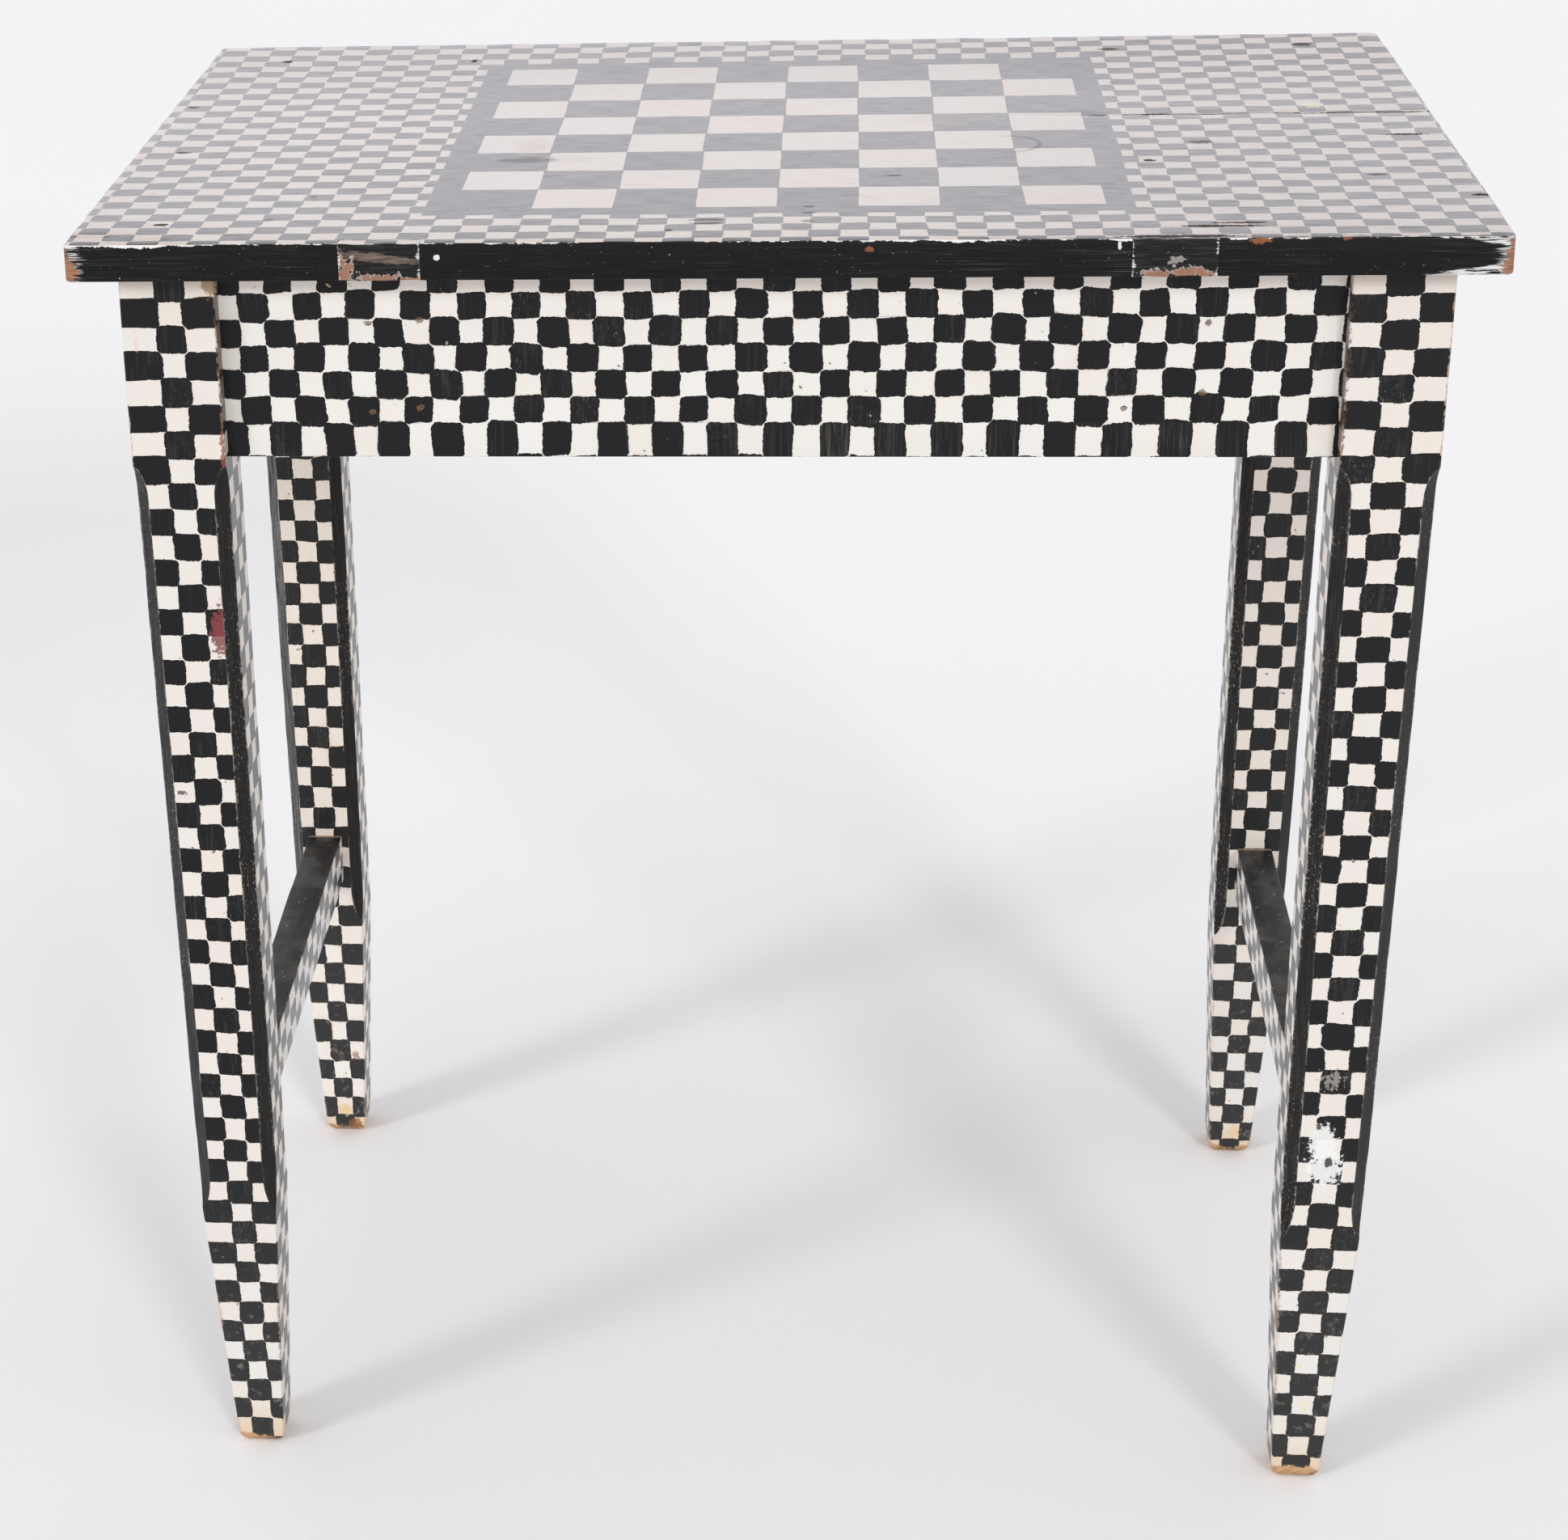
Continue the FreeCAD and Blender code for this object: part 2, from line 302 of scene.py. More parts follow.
@dataclass(frozen=True)
class Pigments:
    """The colours of the paint and of what lies under it, and of painted light and shade, linear red, green
    and blue.
    """

    black: Colour = (0.0068, 0.0068, 0.0078)
    edge_black: Colour = (0.0045, 0.0045, 0.005)
    brown_black: Colour = (0.0115, 0.0105, 0.0102)
    rubbed_black: Colour = (0.045, 0.044, 0.044)
    thin_black: Colour = (0.085, 0.08, 0.074)
    dusty_black: Colour = (0.085, 0.083, 0.082)
    cream: Colour = (0.725, 0.71, 0.685)
    rosy_cream: Colour = (0.715, 0.678, 0.627)
    top_cream: Colour = (0.645, 0.59, 0.55)
    rosy_top_cream: Colour = (0.64, 0.545, 0.485)
    leg_cream: Colour = (0.70, 0.675, 0.645)
    rosy_leg_cream: Colour = (0.70, 0.635, 0.575)
    painted_light_cream: Colour = (0.86, 0.835, 0.80)
    painted_shade_cream: Colour = (0.475, 0.405, 0.372)
    aged_cream: Colour = (0.66, 0.51, 0.37)
    undercoat: Colour = (0.74, 0.73, 0.71)
    smear: Colour = (0.745, 0.745, 0.735)
    bare_wood: Colour = (0.39, 0.185, 0.11)
    chip_wood: Colour = (0.245, 0.088, 0.036)
    dark_wood: Colour = (0.085, 0.045, 0.028)
    hole_wood: Colour = (0.15, 0.09, 0.055)
    scar: Colour = (0.055, 0.042, 0.035)
    pale_scar: Colour = (0.20, 0.145, 0.115)
    pit: Colour = (0.05, 0.034, 0.028)
    foot_wood: Colour = (0.52, 0.315, 0.165)
    foot_cream: Colour = (0.66, 0.46, 0.265)
    fringe: Colour = (0.36, 0.21, 0.105)
    fleck: Colour = (0.40, 0.365, 0.325)
    # Grey of the painted highlight on the chamfers.
    dust: Colour = (0.24, 0.245, 0.25)
    pencil: Colour = (0.33, 0.325, 0.33)
    stain: Colour = (0.50, 0.36, 0.25)
    rust: Colour = (0.24, 0.09, 0.04)
    red_rust: Colour = (0.22, 0.055, 0.035)
    ochre: Colour = (0.30, 0.18, 0.07)
    pink: Colour = (0.80, 0.42, 0.38)
    maroon: Colour = (0.20, 0.045, 0.052)
    yellow: Colour = (0.70, 0.47, 0.16)
    pale_yellow: Colour = (0.72, 0.66, 0.32)
    bright_yellow: Colour = (0.74, 0.66, 0.24)


PIGMENTS = Pigments()


@dataclass(frozen=True)
class Mark:
    """A stain, chip or smear at one place on a piece, in millimetres."""

    place_mm: Place
    radii_mm: Place
    colour: Colour
    strength: float = 0.9
    ragged: float = 1.0

    def cover(self, recipe: Recipe, torn: Value) -> Value:
        """How much the mark hides, from 0 to its strength, with its outline torn by a fine noise."""
        reach = recipe.near(self.place_mm, self.radii_mm) + (torn - 0.5) * (2.4 * self.ragged)
        return reach.rise(1.1, 0.8) * self.strength


def on_top(x: float, y: float, along: float, deep: float, strength: float = 0.9,
           colour: Colour = PIGMENTS.dark_wood, ragged: float = 1.0) -> Mark:
    """A mark on the upper face of the top, by its place and its two radii."""
    return Mark((x, y, TOP_MM), (along, deep, MARK_DEPTH_MM), colour, strength, ragged)


def on_front(x: float, z: float, along: float, up: float, colour: Colour, strength: float = 0.9,
             ragged: float = 1.0, deep: float = MARK_DEPTH_MM) -> Mark:
    """A mark on the front edge of the top, by its place and its radii."""
    return Mark((x, -HALF_DEPTH_MM, z), (along, deep, up), colour, strength, ragged)


class Coat:
    """A colour that is built up in layers."""

    def __init__(self, recipe: Recipe, ground: Input) -> None:
        """Starts from the lowest colour."""
        self.recipe = recipe
        self.colour = ground

    def lay(self, share: Amount, colour: Input) -> None:
        """Lays a colour over a share of what is there."""
        self.colour = self.recipe.mix(share, self.colour, colour)

    def spot(self, marks: Sequence[Mark], scale: float) -> None:
        """Lays marks over what is there.

        Args:
            marks: The marks, first one lowest.
            scale: Features per metre of the noise that tears their outlines.
        """
        torn = self.recipe.noise(scale, 3.0, 0.6)
        for mark in marks:
            self.lay(mark.cover(self.recipe, torn), mark.colour)


@dataclass(frozen=True)
class Checks:
    """A drawn field of checks: where it is black, how far out in a check, and each cell's chances."""

    black: Value
    reach: Value
    cell: Sequence[Value]
    across: Value
    up: Value


@dataclass(frozen=True)
class Brush:
    """How one hand fills checks, in shares of a check."""

    seed: float
    half_width: float = 0.535
    half_height: float = 0.52
    size_wander: float = 0.06
    place_wander: float = 0.07
    lean: float = 0.08
    wobble: float = 0.13
    wobble_scale: float = 2.1
    fray: float = 0.07
    fray_scale: float = 11.0
    squareness: float = 7.0
    squareness_wander: float = 14.0
    edge: float = 0.16

    def draw(self, recipe: Recipe, across: Value, up: Value) -> Checks:
        """Draws filled checks on every cell whose column and row add up to an even number.

        Args:
            recipe: The material.
            across: Columns, whole at the middle of a check.
            up: Rows, whole at the middle of a check.

        Returns:
            The drawn checks.
        """
        here = recipe.vector(across, up, self.seed)
        aside, along = recipe.noise_pair(self.wobble_scale, 2.0, here)
        frayed = (recipe.noise(self.fray_scale, 1.0, at=here) - 0.5) * self.fray
        total = ((across + up) * 0.5).rounded()
        difference = ((across - up) * 0.5).rounded()
        column = total + difference
        row = total - difference
        first, second, third = recipe.chances(column, row, self.seed)
        grown = (third - 0.5) * self.size_wander
        leaning = (second - 0.5) * (up - row) * self.lean
        tilted = (third - 0.5) * (across - column) * self.lean
        right = self._reach(across - column, first, aside, leaning, frayed) / (grown + self.half_width)
        above = self._reach(up - row, second, along, tilted, frayed) / (grown + self.half_height)
        power = first * second * self.squareness_wander + self.squareness
        black = (right ** power + above ** power).rise(1.0 + self.edge, 1.0 - self.edge)
        cell = recipe.chances(across.rounded(), up.rounded(), self.seed + 0.5)
        return Checks(black, right.at_least(above), cell, across, up)

    def _reach(self, offset: Value, chance: Value, wobble: Value, lean: Value, frayed: Value) -> Value:
        """How far a place lies from the middle of its check, as the hand has moved it."""
        moved = offset + (chance - 0.5) * self.place_wander + wobble * self.wobble + lean
        return (abs(moved) + frayed).at_least(0.0)


@dataclass(frozen=True)
class Layer:
    """A paint layer: its colour, its roughness and its height."""

    colour: Socket
    roughness: Value
    height: Value


@dataclass(frozen=True)
class CheckCoat:
    """Cream ground and black checks, with the marks of brush, pencil and use."""

    stroke_across: float = 7.0
    stroke_up: float = 0.5
    dry_share: float = 0.55
    fleck_share: float = 0.34
    ageing: float = 0.2
    pencil_share: float = 0.7
    pencil_width: float = 0.022
    speck_scale: float = 2.6
    cream_roughness: float = 0.42
    black_roughness: float = 0.36
    cream: Colour = PIGMENTS.cream
    rosy_cream: Colour = PIGMENTS.rosy_cream

    def cover(self, recipe: Recipe, checks: Checks, grime: Amount = 0.0) -> Layer:
        """Lays the colours of a field of checks.

        Args:
            recipe: The material.
            checks: The drawn checks.
            grime: How dirty the cream is.

        Returns:
            The paint layer.
        """
        across, up = checks.across, checks.up
        strokes = recipe.streaks(across * self.stroke_across, up * self.stroke_up)
        cloud = recipe.noise(0.35, 3.0, 0.6, recipe.vector(across, up, 3.0))
        specks = recipe.noise(self.speck_scale, at=recipe.vector(across, up, 7.0))
        flecks = recipe.noise(8.0, 3.0, 0.7, recipe.vector(across * 2.4, up * 0.5, 11.0)).rise(0.56, 0.68)
        tint, dryness, third = checks.cell
        black = Coat(recipe, PIGMENTS.black)
        black.lay(strokes.rise(0.5, 0.66) * dryness.rise(0.35, 1.0) * self.dry_share, PIGMENTS.rubbed_black)
        black.lay(flecks * cloud.rise(0.42, 0.6) * dryness.rise(0.55, 1.0) * self.fleck_share, PIGMENTS.fleck)
        black.lay(specks.rise(0.755, 0.79) * third.rise(0.4, 0.9), PIGMENTS.stain)
        coat = Coat(recipe, self.cream)
        coat.lay(tint * 0.75, self.rosy_cream)
        coat.lay(strokes.rise(0.46, 0.72) * (self.ageing * 0.5), PIGMENTS.aged_cream)
        coat.lay(cloud.rise(0.54, 0.78) * self.ageing, PIGMENTS.aged_cream)
        coat.lay(grime, PIGMENTS.aged_cream)
        coat.lay(specks.rise(0.735, 0.77) * 0.8, PIGMENTS.dark_wood)
        fringe = checks.reach.rise(1.14, 1.0) * cloud.rise(0.44, 0.62) * self.ageing
        coat.lay(fringe * 0.75, PIGMENTS.fringe)
        line = self._ruling(across).at_most(self._ruling(up))
        drawn = line.rise(self.pencil_width, self.pencil_width * 0.3) * cloud.rise(0.42, 0.58)
        coat.lay(drawn * self.pencil_share, PIGMENTS.pencil)
        coat.lay(checks.black, black.colour)
        gloss = checks.black * (self.black_roughness - self.cream_roughness) + self.cream_roughness
        height = checks.black * 0.45 + strokes * 0.35 + cloud * 0.2
        return Layer(coat.colour, gloss + (strokes - 0.5) * 0.25, height)

    @staticmethod
    def _ruling(position: Value) -> Value:
        """How far a place is from the ruled line between two cells."""
        shifted = position - 0.5
        return abs(shifted - shifted.rounded())


def ruled(distance: Value, first_pitch: float, quickening: float) -> Value:
    """Counts lines ruled by eye, whose spacing shrinks by a share per unit of distance from the first."""
    return distance * (distance * quickening + 1.0) / first_pitch


def satin(recipe: Recipe, colour: Socket, roughness: Value, shine: float) -> Inputs:
    """The sockets of paint under thin varnish, which shines where it is seen edge-on."""
    return {"Base Color": colour, "Roughness": roughness, "Specular IOR Level": 0.2,
            "Coat Weight": recipe.grazing().rise(0.6, 0.9) * shine, "Coat Roughness": 0.25}


def dull(colour: Input, roughness: Amount, gloss: float) -> Inputs:
    """The sockets of a surface without varnish."""
    return {"Base Color": colour, "Roughness": roughness, "Specular IOR Level": gloss}


@dataclass(frozen=True)
class TopPaint:
    """The chess board, its border and the small checks around it, under satin varnish, with painted shade
    towards the sides and the back.
    """

    board_left_mm: float = -163.0
    board_back_mm: float = 159.4
    board_wander_mm: float = 1.5
    square_mm: float = 41.0
    back_square_mm: float = 43.5
    square_quickening: float = 1.877e-4
    squares: int = 8
    border_left_mm: float = -177.0
    border_right_mm: float = 178.5
    border_back_mm: float = 173.6
    border_front_mm: float = -180.8
    border_soft_mm: float = 0.6
    first_column_mm: float = -344.2
    left_check_mm: float = 14.9
    column_quickening: float = 7.7e-5
    column_bow: float = 0.010
    first_row_mm: float = 222.5
    back_check_mm: float = 15.6
    row_quickening: float = 2.5e-4
    row_sag_mm: float = 4.5
    wander_mm: float = 3.5
    relief: float = 0.00006
    pit_growth: float = 0.12
    pitted_mm: Span = (120.0, -220.0)
    ring_mm: Place = (120.0, -40.0, TOP_MM)
    ring_radii_mm: Place = (18.0, 18.0, 40.0)
    ring_seen_mm: Span = (112.0, 128.0)
    used_mm: Span = (160.0, -190.0)
    spared_mm: Span = (-350.0, -120.0)
    handled_mm: Span = (-185.0, -228.0)
    corner_x_mm: Span = (-240.0, -345.0)
    corner_y_mm: Span = (-175.0, -222.0)
    shade_right_mm: Span = (0.0, 260.0)
    shade_left_mm: Span = (-260.0, -345.0)
    shade_back_mm: Span = (20.0, 190.0)
    dry_left_mm: Span = (-340.0, 0.0)
    shade_dull_back_mm: Span = (40.0, 200.0)
    shade_dull_across_mm: Span = (-100.0, 250.0)
    shade_dull_right_mm: Span = (80.0, 330.0)
    smeared_mm: Span = (100.0, 170.0)
    smear_reach_mm: Span = (3.5, 1.5)
    smear_tear_mm: float = 26.0
    chip_reach_mm: Span = (0.3, -0.5)
    chip_tear_mm: float = 12.0
    bruised_mm: Span = (233.0, 120.0)
    bruise_reach_mm: Span = (0.8, -0.6)
    bruise_tear_mm: float = 16.0
    hand: Brush = Brush(3.0, half_width=0.53, half_height=0.51, size_wander=0.04, place_wander=0.06,
                        lean=0.09, wobble=0.11, squareness=8.0, squareness_wander=10.0)
    ruler: Brush = Brush(5.0, half_width=0.493, half_height=0.496, size_wander=0.012, place_wander=0.02,
                         lean=0.015, wobble=0.02, wobble_scale=1.0, fray=0.015, squareness=40.0,
                         squareness_wander=8.0, edge=0.45)
    ground: CheckCoat = CheckCoat(stroke_across=0.5, stroke_up=9.0, ageing=0.3, dry_share=0.3,
                                  fleck_share=0.0, black_roughness=0.3, cream_roughness=0.34,
                                  cream=PIGMENTS.top_cream, rosy_cream=PIGMENTS.rosy_top_cream)
    marks: Tuple[Mark, ...] = (
        on_top(-133.0, -34.0, 9.0, 17.0, 0.5, PIGMENTS.stain),
        on_top(-112.0, -64.0, 16.0, 9.0, 0.35, PIGMENTS.stain),
        on_top(-243.0, 21.0, 1.6, 3.6, 0.8, PIGMENTS.stain),
        on_top(-208.0, 114.0, 2.4, 2.4, 0.8, PIGMENTS.stain),
        on_top(195.0, 187.0, 3.4, 3.4, 0.9, PIGMENTS.stain),
        on_top(290.0, 43.0, 6.0, 6.0, 0.7, PIGMENTS.pale_yellow),
        on_top(274.0, 29.0, 6.0, 3.0, 0.7, PIGMENTS.stain),
        on_top(30.0, -30.0, 46.0, 3.0, 0.12, PIGMENTS.stain),
        on_top(90.0, 20.0, 30.0, 16.0, 0.15, PIGMENTS.stain),
    )
    pits: Tuple[Mark, ...] = (
        on_top(-303.0, 189.0, 2.6, 2.4),
        on_top(-188.0, 184.0, 1.3, 2.8),
        on_top(-308.0, -195.0, 3.0, 1.8),
        on_top(-325.0, -42.0, 3.4, 1.8, 0.7),
        on_top(-254.0, -187.0, 2.4, 1.5, 0.4),
        on_top(-238.0, -141.0, 1.8, 1.8, 0.3),
        on_top(-339.0, 68.0, 3.0, 1.8, 0.6),
        on_top(303.0, -113.0, 4.0, 1.3, 0.7),
        on_top(190.0, 195.0, 5.0, 2.2, 0.8),
        on_top(303.0, 201.0, 4.2, 3.4, 0.7),
        on_top(192.0, -79.0, 2.4, 1.9),
        on_top(222.0, -40.0, 5.0, 3.2, 0.5),
        on_top(204.0, 25.0, 7.0, 1.5),
        on_top(233.0, 25.5, 6.0, 1.2, 0.8),
        on_top(173.0, 24.5, 4.0, 1.4, 0.8),
        on_top(318.0, 25.5, 36.0, 1.1),
        on_top(250.0, 25.5, 70.0, 0.7, 0.6),
        on_top(330.0, -27.0, 9.0, 1.4),
        on_top(216.0, -211.0, 17.0, 1.6),
        on_top(226.0, -205.0, 11.0, 1.3),
        on_top(195.0, -229.0, 22.0, 1.6),
        on_top(348.0, -155.0, 4.0, 2.0),
        on_top(-133.0, -66.0, 14.0, 5.0, 0.32, ragged=0.7),
        on_top(-33.0, -192.5, 6.5, 1.5, 0.5),
        on_top(-33.0, -199.5, 6.5, 1.5, 0.5),
        on_top(16.6, -196.0, 2.4, 2.4, 0.45),
        on_top(17.0, -168.0, 2.4, 1.4, 0.5),
        on_top(17.0, -180.0, 3.0, 1.4, 0.5),
        on_top(-51.0, -212.0, 2.0, 1.6, 0.6),
        on_top(60.0, -106.5, 3.0, 1.4, 0.5),
    )

    def material(self) -> Material:
        """The painted face of the top.

        Returns:
            The material.
        """
        recipe = Recipe("top_paint")
        x, y, _ = recipe.millimetres()
        aside, along = recipe.noise_pair(11.0)
        x_hand = x + aside * self.wander_mm
        y_hand = y + along * self.wander_mm
        small = self.hand.draw(recipe, *self._small_cells(x, y, x_hand, y_hand))
        border = self._border(x_hand, y_hand)
        used = self._used(recipe, x, y, border)
        layer = self.ground.cover(recipe, small, used * 0.45)
        coat = Coat(recipe, layer.colour)
        column = (x + aside * self.board_wander_mm - self.board_left_mm) / self.square_mm
        down_mm = self.board_back_mm - y - along * self.board_wander_mm
        row = ruled(down_mm, self.back_square_mm, self.square_quickening)
        light = self._lay_board(coat, border, column, row)
        pale = ((1.0 - small.black) * (1.0 - border)).at_least(light)
        # Painted shade: the pale cells are darkened towards the right, the left and the back of the top.
        sideways = x.rise(*self.shade_right_mm).at_least(x.rise(*self.shade_left_mm) * 0.5)
        coat.lay(sideways.at_least(y.rise(*self.shade_back_mm)) * 0.65 * pale, PIGMENTS.painted_shade_cream)
        coat.spot(self.marks, 420.0)
        self._wear_rim(coat, x, y)
        grain = recipe.streaks(x * 0.02, y * 0.45, 1.0, rough=0.6)
        height = layer.height * (1.0 - border) * 0.4 + grain * 0.6
        fine = recipe.streaks(x * 0.045, y * 0.5, 6.0, rough=0.7).rise(0.45, 0.68)
        varnished = {"Base Color": coat.colour, "Roughness": layer.roughness + (grain - 0.5) * 0.2,
                     "Coat Weight": 1.0 - fine * 0.3, "Coat Roughness": 0.22, "Sheen Weight": 0.22,
                     "Sheen Tint": (0.85, 0.75, 1.0), "Sheen Roughness": 0.4}
        # The rubbed share holds wear and also painted shade towards the back and the right.
        rubbed = (self._rubbed_and_shaded(recipe, x, y, border, used, fine), dull(coat.colour, 0.5, 0.35))
        opened = (self._open_pits(recipe, x, y), dull(PIGMENTS.pit, 0.9, 0.0))
        return recipe.finish(varnished, height, self.relief, (rubbed, opened))

    def _small_cells(self, x: Value, y: Value, x_hand: Value, y_hand: Value) -> Tuple[Value, Value]:
        """Columns and rows of the small checks, bowed and sagging as they were drawn by eye.

        Args:
            x: The place across.
            y: The place towards the back.
            x_hand: The place across as the hand wandered.
            y_hand: The place towards the back as the hand wandered.

        Returns:
            Columns and rows, whole at the middle of a check.
        """
        down = y / HALF_DEPTH_MM
        aside = x / HALF_WIDTH_MM
        bowed = x_hand * (1.0 - down * down * self.column_bow)
        sag = (1.0 - aside * aside) * (down + 1.0) * (self.row_sag_mm * 0.5)
        column = ruled(bowed - self.first_column_mm, self.left_check_mm, self.column_quickening)
        row = ruled(self.first_row_mm - y_hand - sag, self.back_check_mm, self.row_quickening)
        return column - 0.5, row - 0.5

    def _border(self, x: Value, y: Value) -> Value:
        """Where the black border and the board lie.

        Args:
            x: The place across.
            y: The place towards the back.

        Returns:
            1 on the border and the board, and 0 outside them.
        """
        sideways = (x - self.border_left_mm).at_most(self.border_right_mm - x)
        lengthways = (y - self.border_front_mm).at_most(self.border_back_mm - y)
        return sideways.at_most(lengthways).rise(-self.border_soft_mm, self.border_soft_mm)

    def _lay_board(self, coat: Coat, border: Value, column: Value, row: Value) -> Value:
        """Lays the black board and its light squares over a coat.

        Args:
            coat: The coat.
            border: Where the border and the board lie.
            column: The board's columns, whole on its lines.
            row: The board's rows, whole on its lines.

        Returns:
            Where the light squares lie.
        """
        recipe = coat.recipe
        drawn = self.ruler.draw(recipe, column - 0.5, row - 0.5)
        middle = self.squares * 0.5
        reach = abs(column - middle).at_least(abs(row - middle))
        light = drawn.black * reach.rise(middle - 0.02, middle - 0.032)
        mottle = recipe.noise(28.0, 3.0)
        board = Coat(recipe, PIGMENTS.black)
        board.lay(mottle.rise(0.5, 0.75) * 0.25, PIGMENTS.rubbed_black)
        square = Coat(recipe, self.ground.cream)
        square.lay(drawn.cell[0] * 0.7, self.ground.rosy_cream)
        square.lay(mottle.rise(0.5, 0.8) * 0.3, PIGMENTS.aged_cream)
        coat.lay(border, board.colour)
        coat.lay(light, square.colour)
        return light

    def _used(self, recipe: Recipe, x: Value, y: Value, border: Value) -> Value:
        """How far hands and cloths have used the paint, most at the front and its left corner.

        Args:
            recipe: The material.
            x: The place across.
            y: The place towards the back.
            border: Where the border and the board lie.

        Returns:
            The use, from 0 to 1.
        """
        clouds = recipe.noise(8.0, 4.0, 0.6).rise(0.42, 0.72) * (y.rise(*self.used_mm) * 0.2 + 0.06)
        corner = y.rise(*self.corner_y_mm) * x.rise(*self.corner_x_mm)
        handled = y.rise(*self.handled_mm) * 0.3 + corner * 0.8
        return (clouds * (x.rise(*self.spared_mm) * 0.5 + 0.5)).at_least(handled) * (1.0 - border * 0.7)

    def _rubbed_and_shaded(self, recipe: Recipe, x: Value, y: Value, border: Value, used: Value, fine: Value) -> Value:
        """How far the varnish is rubbed away by use, together with painted shade that dulls the sheen towards
        the back and the right.

        Args:
            recipe: The material.
            x: The place across.
            y: The place towards the back.
            border: Where the border and the board lie.
            used: How far the paint is used.
            fine: Fine streaks along the grain.

        Returns:
            The share without varnish, from wear and from painted shade.
        """
        streaks = recipe.streaks(x * 0.025, y * 0.28, 5.0, rough=0.6).rise(0.47, 0.7)
        # Painted shade: the varnish is dulled towards the back and the right, so the top reads darker there.
        painted_shade = y.rise(*self.shade_dull_back_mm) * (x.rise(*self.shade_dull_across_mm) * 0.1 + 0.1)
        painted_shade = painted_shade + x.rise(*self.shade_dull_right_mm) * 0.06
        streaky = fine * (x.rise(*self.dry_left_mm) * 0.08 + 0.12 - border * 0.06)
        return used * (streaks * 0.9 + 0.25) + streaky + painted_shade

    def _open_pits(self, recipe: Recipe, x: Value, y: Value) -> Value:
        """Where nicks, cracks and open grain show dull wood.

        Args:
            recipe: The material.
            x: The place across.
            y: The place towards the back.

        Returns:
            The share that they take.
        """
        torn = recipe.noise(420.0, 3.0, 0.6) - self.pit_growth
        dashes = recipe.streaks(x * 0.035, y * 0.55, 9.0, 3.0, 0.6)
        busy = recipe.noise(9.0).rise(0.42, 0.62)
        opened = dashes.rise(0.64, 0.73) * busy * y.rise(*self.pitted_mm) * 0.6
        ring = abs(recipe.near(self.ring_mm, self.ring_radii_mm) - 1.0).rise(0.10, 0.03)
        opened = opened.at_least(ring * x.rise(*self.ring_seen_mm) * 0.3)
        for pit in self.pits:
            opened = opened.at_least(pit.cover(recipe, torn))
        return opened

    def _wear_rim(self, coat: Coat, x: Value, y: Value) -> None:
        """Lays the wear along the front and side edges over a coat.

        Args:
            coat: The coat.
            x: The place across.
            y: The place towards the back.
        """
        torn = coat.recipe.streaks(x * 0.09, y * 0.35) - 0.5
        front = y + HALF_DEPTH_MM
        side = HALF_WIDTH_MM - abs(x)
        smeared = (front + torn * self.smear_tear_mm).rise(*self.smear_reach_mm) * x.rise(*self.smeared_mm)
        coat.lay(smeared * 0.9, PIGMENTS.black)
        patchy = coat.recipe.streaks(x * 0.02, y * 0.02, 2.0, 2.0, 0.5).rise(0.42, 0.58)
        coat.lay((front + torn * self.chip_tear_mm).rise(*self.chip_reach_mm) * patchy, PIGMENTS.undercoat)
        bruised = (side + torn * self.bruise_tear_mm).rise(*self.bruise_reach_mm) * y.rise(*self.bruised_mm)
        coat.lay(bruised * 0.8, PIGMENTS.dark_wood)


